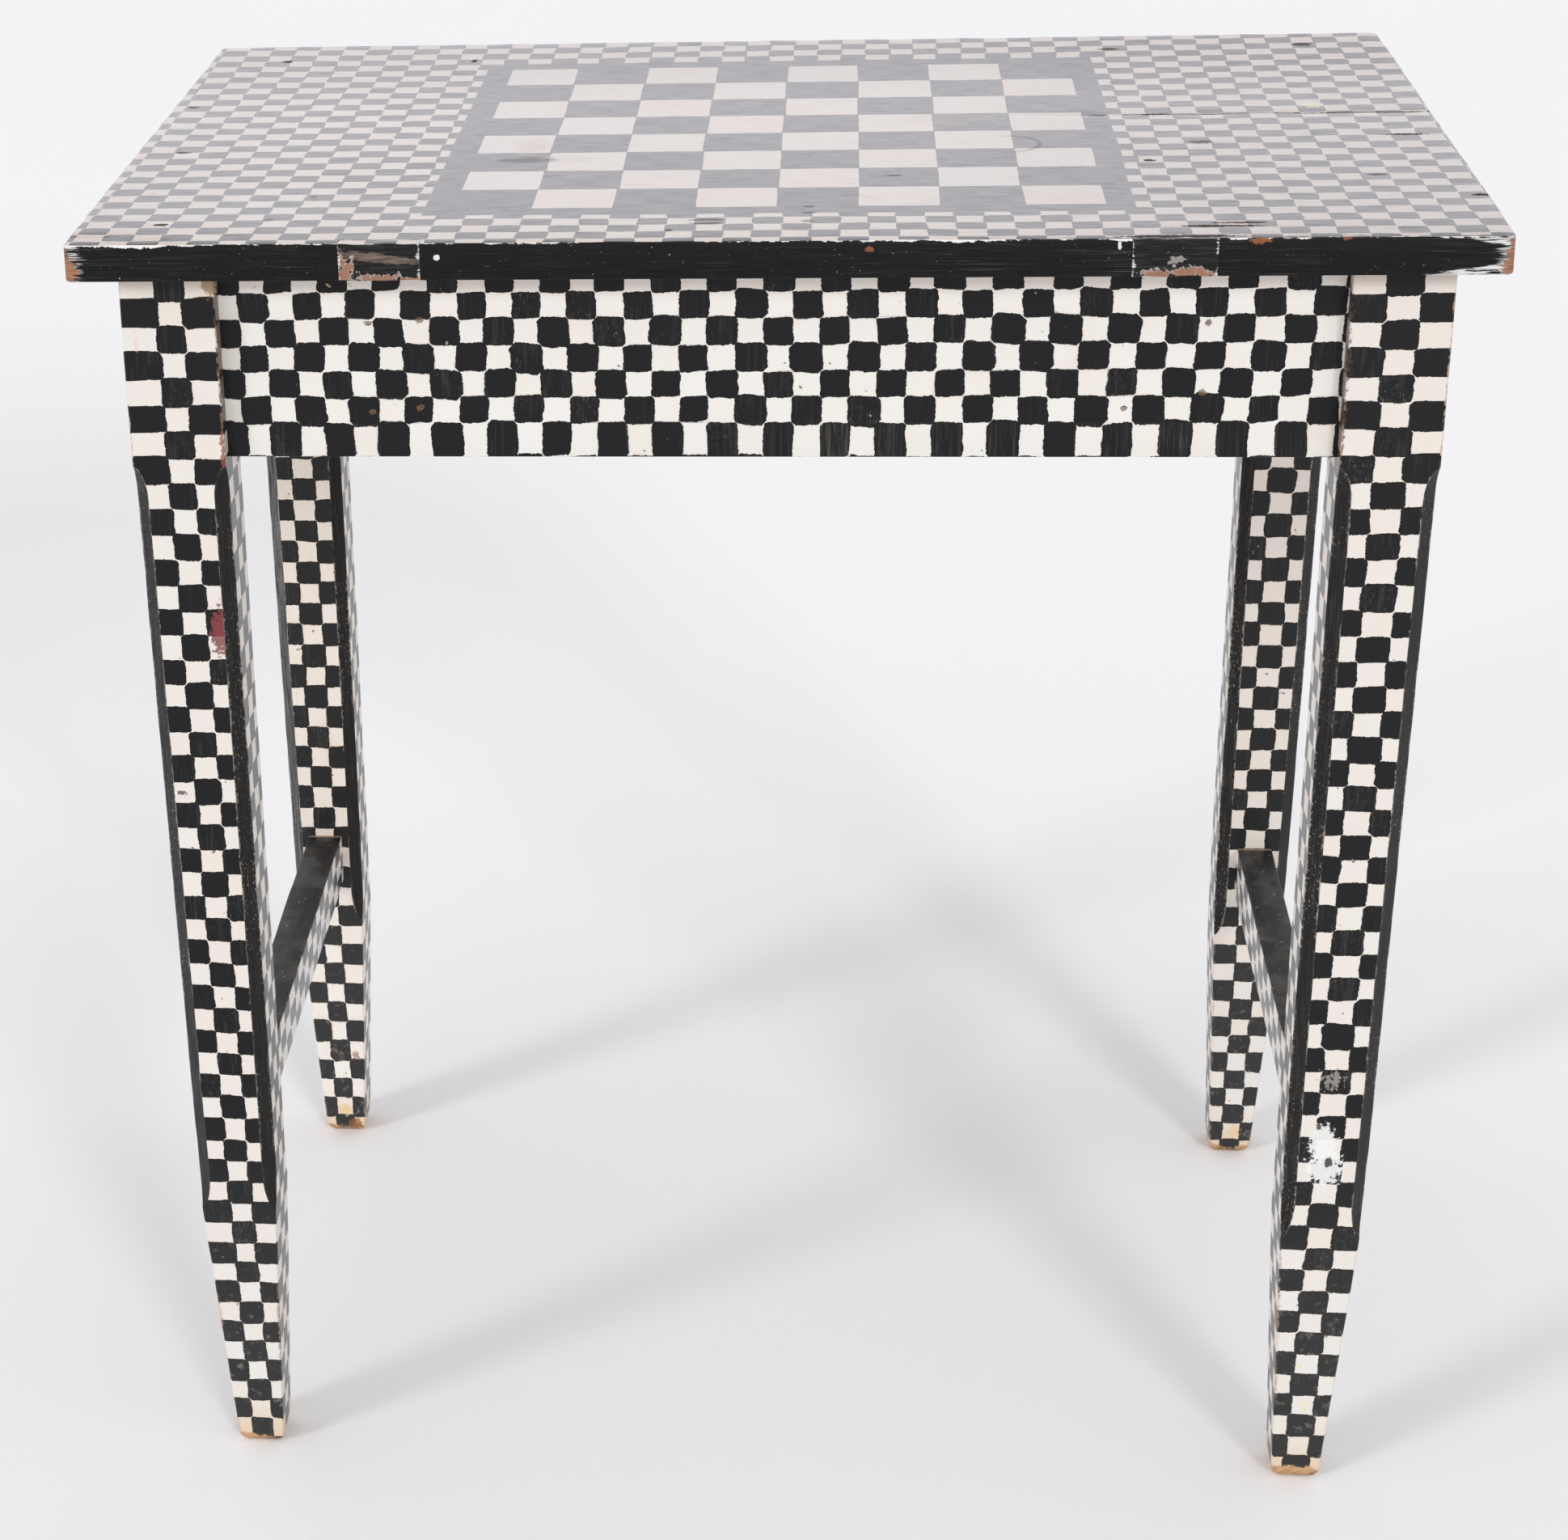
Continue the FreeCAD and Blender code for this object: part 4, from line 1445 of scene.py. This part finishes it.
    def _wear(self, mesh: Mesh, top: float) -> None:
        """Chips the upper arris and opens the joint towards the right.

        Args:
            mesh: The board.
            top: The height of its upper face.
        """
        reach = self.chip_reach
        near = [v for v in mesh.verts if v.co.z > top - reach
                and (abs(v.co.x) > CAD_BOX[1].x - reach or abs(v.co.y) > CAD_BOX[1].y - reach)]
        below = top - self.chip_below
        share = self.chip_inward_share
        rub(near, lambda at: Vector((at.x * share, at.y * share, below)), self.chip, self.chip_scale)
        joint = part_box("top_board_back")[0].y
        for vertex in mesh.verts:
            x, y, z = vertex.co
            if abs(y - joint) < CLOSE and z > top - MM and x > self.crack_start:
                vertex.co.z -= self.crack_depth * wear_at(vertex.co, self.crack_scale, self.crack_bias)

    def _patch(self, node: str, finishes: Sequence[Material]) -> None:
        """Builds one repair piece.

        Args:
            node: The node that it stands for.
            finishes: Its own paint, paint of the top, and bare wood.
        """
        low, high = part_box(node)
        mesh = box_mesh(low, high)
        cut_across(mesh, Axis.X, even_places(low.x, high.x, self.patch_step))
        cut_across(mesh, Axis.Z, even_places(low.z, high.z, self.patch_rise))
        ease(mesh, sharp_edges(mesh), self.patch_arris, 2)
        centre = (low + high) * 0.5
        front = [v for v in mesh.verts if v.co.y < low.y + MM]
        rub(front, lambda at: Vector((at.x, centre.y, centre.z)), self.patch_rub, self.patch_rub_scale)
        add_piece(node, mesh, finishes, self._facing)


@dataclass
class Leg:
    """A square leg with four stopped chamfers on its shank and a tapered, worn foot."""

    node: str
    paint: LegPaint
    first_row: float
    row: float
    drift: float
    middle: float
    head_middle: float
    shift: float = 0.0
    size: float = 0.049
    shoulder: float = 0.185
    shoulder_round: float = 0.02
    shank_taper: float = 0.004
    foot_outer_inset: float = 0.0155
    foot_inner_inset: float = 0.0075
    chamfer: float = 0.007
    chamfer_low: float = 0.168
    chamfer_high: float = 0.617
    low_runout: float = 0.025
    high_runout: float = 0.017
    tongue: float = 0.6
    arris: float = 0.0007
    foot_round: float = 0.008
    foot_draw: float = 0.0048
    ring_step: float = 0.009
    rub_depth: float = 0.0004
    rub_scale: float = 55.0
    rub_bias: float = 0.2
    side_x: float = field(init=False)
    side_y: float = field(init=False)
    outer_x: float = field(init=False)
    outer_y: float = field(init=False)
    top: float = field(init=False)
    head: float = field(init=False)

    PAINT_MAP = "paint"
    RIM_MAP = "rim"
    FACE_SHIFT = 64
    FOOT_ANGLES = (0, 25, 50, 70, 90)
    STOP_ANGLES = (0, 10, 20, 32, 46, 62, 78, 90)

    def __post_init__(self) -> None:
        """Takes the leg's place from the frame, and the height of its square head from the apron's depth."""
        low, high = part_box(self.node)
        apron_low, apron_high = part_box("apron_front")
        self.side_x = math.copysign(1.0, low.x + high.x)
        self.side_y = math.copysign(1.0, low.y + high.y)
        self.outer_x = max(high.x, -low.x)
        self.outer_y = max(high.y, -low.y)
        self.top = high.z
        self.head = self.top - (apron_high.z - apron_low.z)

    def build(self, chamfer_paint: Material, bare: Material) -> None:
        """Builds and dresses the leg.

        Args:
            chamfer_paint: The finish of the chamfers.
            bare: The finish of the leg's upper end.
        """
        mesh = self._rings()
        self._dress(mesh)
        add_piece(self.node, mesh, [self.paint.material(), chamfer_paint, bare])

    def _insets(self, z: float) -> Span:
        """How far the faces have come in at a height.

        Args:
            z: The height.

        Returns:
            The outer and the inner faces' insets.
        """
        if z >= self.head:
            return 0.0, 0.0
        lean = self.shank_taper * (self.head - max(z, self.shoulder)) / (self.head - self.shoulder)
        fall = self._below_shoulder(z) / self._below_shoulder(0.0)
        return lean + (self.foot_outer_inset - self.shank_taper) * fall, self.foot_inner_inset * fall

    def _below_shoulder(self, z: float) -> float:
        """How far a height lies below the rounded shoulder, fading to nothing above it."""
        below = self.shoulder - z
        return (below + math.hypot(below, self.shoulder_round)) * 0.5

    def _spans(self, z: float) -> Tuple[Span, Span]:
        """The places of the faces at a height, on the leg's own side.

        Args:
            z: The height.

        Returns:
            The inner and outer places along X, and along Y.
        """
        outer, inner = self._insets(z)
        reaches = (self.outer_x, self.outer_y)
        along_x, along_y = ((reach - self.size + inner, reach - outer) for reach in reaches)
        return along_x, along_y

    def _chamfer_width(self, z: float) -> float:
        """The width of the chamfer at a height, never less than the eased arris.

        Args:
            z: The height.

        Returns:
            The width.
        """
        if not self.chamfer_low < z < self.chamfer_high:
            return self.arris
        share = min(1.0, (z - self.chamfer_low) / self.low_runout, (self.chamfer_high - z) / self.high_runout)
        return max(self.arris, self.chamfer * (1.0 - (1.0 - share) ** 2) ** self.tongue)

    def _section(self, z: float, shrink: float) -> List[Vector]:
        """The eight corners of the leg at a height.

        Args:
            z: The height.
            shrink: How far the section is drawn in, as at the rounded foot.

        Returns:
            The corners in order round the leg.
        """
        (in_x, out_x), (in_y, out_y) = self._spans(z)
        in_x, in_y, out_x, out_y = in_x + shrink, in_y + shrink, out_x - shrink, out_y - shrink
        cut = self._chamfer_width(z) + shrink * 0.5
        corners = [(in_x + cut, in_y), (out_x - cut, in_y), (out_x, in_y + cut), (out_x, out_y - cut),
                   (out_x - cut, out_y), (in_x + cut, out_y), (in_x, out_y - cut), (in_x, in_y + cut)]
        return [Vector((x * self.side_x, y * self.side_y, z)) for x, y in corners]

    def _heights(self) -> List[float]:
        """The heights of the rings, close together where the leg curves.

        Returns:
            The heights, lowest first.
        """
        foot = [self.foot_round * (1.0 - math.cos(math.radians(angle))) for angle in self.FOOT_ANGLES]
        curve = [1.0 - math.cos(math.radians(angle)) for angle in self.STOP_ANGLES]
        low_stop = [self.chamfer_low + self.low_runout * share for share in curve]
        high_stop = [self.chamfer_high - self.high_runout * share for share in reversed(curve)]
        plain = even_places(foot[-1], self.chamfer_low, self.ring_step)
        plain += even_places(low_stop[-1], high_stop[0], self.ring_step)
        plain += even_places(high_stop[-1], self.top, self.ring_step)
        return sorted(foot + low_stop + high_stop + plain + [self.head, self.top])

    def _rings(self) -> Mesh:
        """The leg's mesh: its foot's outline, drawn upwards ring by ring.

        Returns:
            The mesh, whose vertices know their number in the ring.
        """
        mesh = bmesh.new()
        corner = mesh.verts.layers.int.new("corner")
        lowest, *heights = self._heights()
        vertices = [mesh.verts.new(place) for place in self._section(lowest, self.foot_draw)]
        for number, vertex in enumerate(vertices):
            vertex[corner] = number
        ring = list(mesh.faces.new(vertices).edges)
        for z in heights:
            raised = bmesh.ops.extrude_edge_only(mesh, edges=ring)["geom"]
            lifted = {item for item in raised if isinstance(item, bmesh.types.BMVert)}
            edges = [item for item in raised if isinstance(item, bmesh.types.BMEdge)]
            ring = [edge for edge in edges if lifted.issuperset(edge.verts)]
            share = max(0.0, 1.0 - z / self.foot_round)
            section = self._section(z, self.foot_draw * (1.0 - math.sqrt(1.0 - share * share)))
            for vertex in lifted:
                vertex.co = section[vertex[corner]] + self._unevenness(section[vertex[corner]])
        bmesh.ops.edgeloop_fill(mesh, edges=ring)
        return mesh

    def _unevenness(self, place: Vector) -> Vector:
        """How far use has rubbed the leg in at a place on an arris.

        Args:
            place: The place.

        Returns:
            The way that it has moved.
        """
        (in_x, out_x), (in_y, out_y) = self._spans(place.z)
        axis = Vector(((in_x + out_x) * 0.5 * self.side_x, (in_y + out_y) * 0.5 * self.side_y, place.z))
        rubbed = wear_at(place, self.rub_scale, self.rub_bias) * self.rub_depth
        return (axis - place).normalized() * rubbed

    def _dress(self, mesh: Mesh) -> None:
        """Lays out the paint: columns and rows on the faces, and black on the chamfers.

        Args:
            mesh: The leg.
        """
        corner = mesh.verts.layers.int["corner"]
        maps = [mesh.loops.layers.uv.new(name) for name in (self.PAINT_MAP, self.RIM_MAP)]
        for face in mesh.faces:
            numbers = {loop.vert[corner] for loop in face.loops}
            if len(numbers) > 2:
                face.material_index = 2 if face.calc_center_median().z > self.head else 0
                continue
            first = 7 if numbers == {0, 7} else min(numbers)
            widest = max(self._chamfer_width(loop.vert.co.z) for loop in face.loops)
            face.material_index = 1 if first % 2 and widest > self.arris else 0
            for loop in face.loops:
                places = self._painted(loop.vert.co, first)
                if face.material_index == 1:
                    places[0] = (0.0 if loop.vert[corner] == first else 1.0, places[0][1])
                for layer, place in zip(maps, places):
                    loop[layer].uv = place

    def _painted(self, place: Vector, first: int) -> List[Span]:
        """Where a corner of a face lies in the paint.

        Args:
            place: The corner's place on the leg.
            first: The number of the face's first vertex in the ring, odd on a chamfer.

        Returns:
            Its column and row, and its distances from the inner and outer arris in millimetres.
        """
        z = place.z
        along = 0 if first in (0, 4) else 1
        low, high = self._spans(z)[along]
        here = abs(place[along])
        bend = self.drift * (z / (self.head * 0.5) - 1.0) ** 2
        row = (z - self.first_row) / self.row + bend - 0.5 + first * self.FACE_SHIFT
        width = self.middle + (self.head_middle - self.middle) * z / self.head
        column = 1.0 + (here - (low + high) * 0.5 + self.shift) / width
        bevel = self._chamfer_width(z)
        rims = (0.0, 0.0) if first % 2 else ((here - low - bevel) / MM, (high - here - bevel) / MM)
        return [(column, row), rims]


@dataclass
class Apron:
    """A board under the top, between two legs."""

    node: str
    axis: Axis
    outward: float
    paint: ApronPaint
    holes: Tuple[Span, ...] = ()
    arris: float = 0.0008
    step: float = 0.014
    seat: float = 0.0005
    hole_radius: float = 0.0016
    hole_depth: float = 0.0022
    hole_rim_share: float = 0.25
    hole_corner_share: float = 0.4
    hole_slope_share: float = 0.2
    facing: float = 0.7

    def build(self, bare: Material) -> None:
        """Builds and dresses the apron.

        Args:
            bare: The finish of its inner face.
        """
        along, across = self.axis.value, 1 - self.axis.value
        low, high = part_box(self.node)
        low[along] += TENON - self.seat
        high[along] -= TENON - self.seat
        mesh = box_mesh(low, high)
        radius = self.hole_radius
        for place, height in self.holes:
            cut_across(mesh, self.axis, [place - radius, place + radius])
            cut_across(mesh, Axis.Z, [height - radius, height + radius])
        cut_across(mesh, self.axis, even_places(low[along], high[along], self.step))
        bottom = low.z + CLOSE
        lower = [edge for edge in sharp_edges(mesh) if all(vertex.co.z < bottom for vertex in edge.verts)]
        ease(mesh, lower, self.arris, 2)
        for place, height in self.holes:
            self._sink(mesh, place, height)
        add_piece(self.node, mesh, [self.paint.material(), bare],
                  lambda normal: int(normal[across] * self.outward < -self.facing))

    def _sink(self, mesh: Mesh, place: float, height: float) -> None:
        """Sinks one old screw hole into the outer face.

        Args:
            mesh: The apron.
            place: Where it lies along the apron.
            height: Its height.
        """
        across = 1 - self.axis.value
        radius = self.hole_radius
        for face in mesh.faces:
            face.normal_update()
        found = [face for face in mesh.faces if face.normal[across] * self.outward > self.facing
                 and abs(face.calc_center_median()[self.axis.value] - place) < radius
                 and abs(face.calc_center_median().z - height) < radius]
        target = max(found, key=lambda face: face.calc_area())
        bmesh.ops.inset_individual(mesh, faces=[target], thickness=radius * self.hole_rim_share)
        rounded = ease(mesh, target.verts, radius * self.hole_corner_share, 2, "VERTICES")
        if not target.is_valid:
            target = max(rounded, key=lambda face: len(face.verts))
        inward = Vector((0.0, 0.0, 0.0))
        inward[across] = -self.outward * self.hole_depth
        bmesh.ops.inset_individual(mesh, faces=[target], thickness=radius * self.hole_slope_share)
        bmesh.ops.translate(mesh, verts=list(target.verts), vec=inward)


@dataclass
class Stretcher:
    """A low rail from a front leg to a back leg."""

    node: str
    arris: float = 0.0011
    step: float = 0.012
    rub_depth: float = 0.0007
    rub_scale: float = 45.0
    seat: float = 0.0012
    facing: float = 0.6

    def build(self, sides: Material, upper: Material) -> None:
        """Builds and dresses the stretcher.

        Args:
            sides: The finish of its sides.
            upper: The finish of its upper and lower faces.
        """
        low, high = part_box(self.node)
        low.y += TENON - self.seat
        high.y -= TENON - self.seat
        mesh = box_mesh(low, high)
        cut_across(mesh, Axis.Y, even_places(low.y, high.y, self.step))
        long_edges = [edge for edge in sharp_edges(mesh) if abs(edge.verts[0].co.y - edge.verts[1].co.y) > MM]
        ease(mesh, long_edges, self.arris, 3)
        centre = (low + high) * 0.5
        rub(mesh.verts, lambda at: Vector((centre.x, at.y, centre.z)), self.rub_depth, self.rub_scale)
        add_piece(self.node, mesh, [sides, upper],
                  lambda normal: int(abs(normal.z) > self.facing))


@dataclass
class Fixings:
    """The glue blocks and the screws inside the frame, which keep their own solids."""

    def dress(self, pine: Dict[Axis, Material]) -> None:
        """Gives the blocks bare wood and the screws old steel.

        Args:
            pine: Bare wood by the axis of its grain.
        """
        steel = OldSteel().material()
        for node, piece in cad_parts.items():
            if node.startswith("glue_block"):
                low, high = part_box(node)
                self._put(piece, pine[Axis.X if high.x - low.x > high.y - low.y else Axis.Y])
            elif node.endswith("screws"):
                self._put(piece, steel)

    @staticmethod
    def _put(piece: bpy.types.Object, finish: Material) -> None:
        """Puts one finish on all of a node's slots.

        Args:
            piece: The node's object.
            finish: The finish.
        """
        for slot in piece.material_slots:
            slot.material = finish
        LOG.info("%s: keeps its solid, finish %s", piece.name, finish.name)


# Studio


@dataclass(frozen=True)
class PhotoCamera:
    """The photograph's camera, fitted to the corners of the table."""

    frame_width_px: float = 1939.0
    focal_px: float = 4095.0
    axis_column_px: float = 560.0
    place: Place = (0.0329, -1.8074, 1.164)
    tilt_deg: float = 24.006
    heading_deg: float = 7.187
    roll_deg: float = -2.266
    sensor_mm: float = 36.0
    clip_end: float = 200.0

    def add(self) -> None:
        """Adds the camera and makes it the scene's own."""
        data = bpy.data.cameras.new("photo_camera")
        data.sensor_fit = "HORIZONTAL"
        data.sensor_width = self.sensor_mm
        data.lens = self.focal_px / self.frame_width_px * self.sensor_mm
        data.shift_x = (self.frame_width_px * 0.5 - self.axis_column_px) / self.frame_width_px
        data.clip_end = self.clip_end
        camera = bpy.data.objects.new("photo_camera", data)
        camera.matrix_world = Matrix.Translation(self.place) @ self._turn().to_4x4()
        bpy.context.scene.collection.objects.link(camera)
        bpy.context.scene.camera = camera

    def _turn(self) -> Matrix:
        """The camera's turn, from its heading, tilt and roll.

        Returns:
            The turn.
        """
        angles = (self.tilt_deg, self.heading_deg, self.roll_deg)
        tilt, heading, roll = (math.radians(angle) for angle in angles)
        aside = Vector((math.cos(heading), math.sin(heading), 0.0))
        ahead = Vector((-math.sin(heading), math.cos(heading), 0.0))
        up = Vector((0.0, 0.0, 1.0))
        forward = ahead * math.cos(tilt) - up * math.sin(tilt)
        down = -up * math.cos(tilt) - ahead * math.sin(tilt)
        right = aside * math.cos(roll) - down * math.sin(roll)
        lower = aside * math.sin(roll) + down * math.cos(roll)
        return Matrix((right, -lower, -forward)).transposed()


@dataclass(frozen=True)
class Lamp:
    """A soft distant lamp."""

    name: str
    source: Place
    strength: float
    spread_deg: float = 13.0

    def add(self) -> None:
        """Adds the lamp."""
        data = bpy.data.lights.new(self.name, "SUN")
        data.energy = self.strength
        data.angle = math.radians(self.spread_deg)
        lamp = bpy.data.objects.new(self.name, data)
        lamp.matrix_world = Vector(self.source).to_track_quat("Z", "Y").to_matrix().to_4x4()
        bpy.context.scene.collection.objects.link(lamp)


@dataclass(frozen=True)
class Studio:
    """A pale floor, two soft lamps in front and white surroundings."""

    floor_radius: float = 40.0
    floor_sides: int = 64
    floor_colour: Colour = (0.955, 0.955, 0.975)
    paler: float = 1.02
    white: Colour = (1.0, 1.0, 1.0)
    fill: float = 0.705
    lamps: Tuple[Lamp, ...] = (
        Lamp("left_lamp", (-0.79, -0.63, 0.34), 1.12),
        Lamp("right_lamp", (0.42, -0.90, 0.42), 0.92),
    )

    def build(self) -> None:
        """Adds the floor, the lamps, the surroundings and the camera."""
        bpy.context.scene.view_settings.view_transform = "Standard"
        self._floor()
        self._surroundings()
        for lamp in self.lamps:
            lamp.add()
        PhotoCamera().add()

    def _floor(self) -> None:
        """A wide level floor."""
        mesh = bmesh.new()
        bmesh.ops.create_circle(mesh, cap_ends=True, segments=self.floor_sides, radius=self.floor_radius)
        data = bpy.data.meshes.new("floor")
        mesh.to_mesh(data)
        mesh.free()
        recipe = Recipe("floor_paper")
        pale = tuple(channel * self.paler for channel in self.floor_colour)
        colour = recipe.mix(recipe.noise(1.3, 3.0), self.floor_colour, pale)
        data.materials.append(recipe.finish(dull(colour, 0.9, 0.1)))
        floor = bpy.data.objects.new("floor", data)
        bpy.context.scene.collection.objects.link(floor)

    def _surroundings(self) -> None:
        """White surroundings for the eye and for gloss, and a gentler fill for everything else."""
        world = bpy.data.worlds.new("white_surroundings")
        world.use_nodes = True
        tree = NodeTree(world.node_tree)
        path = tree.node("ShaderNodeLightPath", {}, {}).outputs
        seen = tree.math("MAXIMUM", path["Is Camera Ray"], path["Is Glossy Ray"])
        seen = seen.at_least(Value(tree, path["Is Transmission Ray"]))
        strength = tree.value("ShaderNodeMapRange", {}, {"Value": seen, "To Min": self.fill})
        background = tree.node("ShaderNodeBackground", {}, {"Color": self.white, "Strength": strength})
        tree.node("ShaderNodeOutputWorld", {}, {"Surface": background.outputs[0]})
        bpy.context.scene.world = world


# The whole table


def legs() -> List[Leg]:
    """The four legs, each with its own rows, paint and marks.

    Returns:
        The legs.
    """
    front_left = LegPaint("front_left_leg", 31.0, Tone.FRESH, 6.0, marks=(
        Mark((-288.5, -210.0, 525.0), (5.5, 8.0, 14.0), PIGMENTS.maroon),
        Mark((-280.0, -205.0, 676.0), (1.3, 7.0, 40.0), PIGMENTS.dark_wood, 0.8),
        Mark((-281.0, -211.0, 622.0), (1.3, 3.0, 17.0), PIGMENTS.red_rust, 0.8, 1.4),
        Mark((-282.5, -211.0, 714.0), (5.0, 4.0, 6.0), PIGMENTS.ochre, 0.8),
        Mark((-322.0, -211.0, 683.0), (0.8, 3.0, 5.5), PIGMENTS.pink, 0.45, 2.0),
        Mark((-316.0, -209.5, 431.0), (2.4, 4.0, 1.8), PIGMENTS.black, 0.8, 1.5),
        Mark((-313.0, -209.5, 398.0), (1.0, 4.0, 0.8), PIGMENTS.dark_wood, 0.8),
    ))
    front_right = LegPaint("front_right_leg", 37.0, Tone.FRESH, 9.0, 0.05, marks=(
        Mark((299.0, -208.0, 229.0), (7.5, 5.0, 11.0), PIGMENTS.smear),
        Mark((301.5, -208.0, 214.0), (9.5, 5.0, 11.0), PIGMENTS.smear),
        Mark((303.0, -208.0, 217.0), (2.0, 4.0, 4.0), PIGMENTS.black),
        Mark((301.5, -208.0, 268.5), (4.6, 4.0, 4.2), PIGMENTS.fleck, 0.6, 3.0),
        Mark((280.0, -205.0, 655.0), (2.2, 7.0, 60.0), PIGMENTS.dark_wood, 0.7),
        Mark((297.5, -201.0, 81.0), (1.3, 5.0, 1.3), PIGMENTS.bright_yellow, 0.7),
        Mark((301.0, -201.0, 53.7), (1.1, 5.0, 1.4), PIGMENTS.bright_yellow, 0.7),
        Mark((303.0, -201.0, 50.0), (1.3, 5.0, 1.0), PIGMENTS.bright_yellow, 0.7),
    ))
    # Painted light: 1.11 pales the cream of this leg, which stands in the shade of the top.
    back_left = LegPaint("back_left_leg", 41.0, Tone.AGED, 7.0, 0.25, 1.11, marks=(
        Mark((-300.5, 167.0, 18.0), (4.6, 6.0, 4.5), PIGMENTS.yellow, 0.6),
        Mark((-294.0, 168.0, 7.0), (4.5, 6.0, 4.5), PIGMENTS.rust, 0.8),
        Mark((-291.0, 166.0, 62.0), (3.0, 6.0, 3.0), PIGMENTS.rust, 0.7, 1.8),
    ))
    back_right = LegPaint("back_right_leg", 43.0, Tone.MELLOW, 7.0, 0.25, marks=(
        Mark((303.0, 167.0, 18.0), (4.6, 6.0, 4.5), PIGMENTS.yellow, 0.5),
    ))
    return [
        Leg("leg_front_left", front_left, 0.0185, 0.01402, 0.0, 0.0120, 0.0137, 0.0014),
        Leg("leg_front_right", front_right, 0.0205, 0.01412, 0.3, 0.0138, 0.0158),
        Leg("leg_back_left", back_left, 0.021, 0.01446, 0.6, 0.0118, 0.0150),
        Leg("leg_back_right", back_right, 0.003, 0.01418, -0.6, 0.0122, 0.0160),
    ]


def aprons() -> List[Apron]:
    """The four aprons.

    Returns:
        The aprons.
    """
    holes = ((-0.204, 0.690), (-0.1775, 0.6915), (-0.2036, 0.6433), (-0.179, 0.6455), (0.2134, 0.6887),
             (0.2124, 0.6531), (0.1745, 0.6449))
    chips = tuple(Mark((x / MM, -201.0, z / MM), (2.0, 3.0, 1.6), PIGMENTS.hole_wood, 0.8) for x, z in holes)
    return [
        Apron("apron_front", Axis.X, -1.0, ApronPaint("apron_front", Axis.X, 51.0, marks=chips), holes),
        Apron("apron_back", Axis.X, 1.0, ApronPaint("apron_back", Axis.X, 53.0, 0.2)),
        Apron("apron_left", Axis.Y, -1.0, ApronPaint("apron_left", Axis.Y, 57.0)),
        Apron("apron_right", Axis.Y, 1.0, ApronPaint("apron_right", Axis.Y, 59.0)),
    ]


def main() -> None:
    """Builds the table's pieces in order, then the studio around it."""
    logging.basicConfig(level=logging.INFO, format="%(name)s: %(message)s")
    pine = {axis: BarePine(axis).material() for axis in Axis}
    TableTop().build(pine[Axis.X])
    chamfers = ChamferPaint().material()
    for leg in legs():
        leg.build(chamfers, pine[Axis.Z])
    for apron in aprons():
        apron.build(pine[apron.axis])
    sides, upper = StretcherPaint().material(), RubbedBlack().material()
    for hand in HANDS:
        Stretcher(f"stretcher_{hand}").build(sides, upper)
    Fixings().dress(pine)
    Studio().build()


if __name__ == "__main__":
    main()
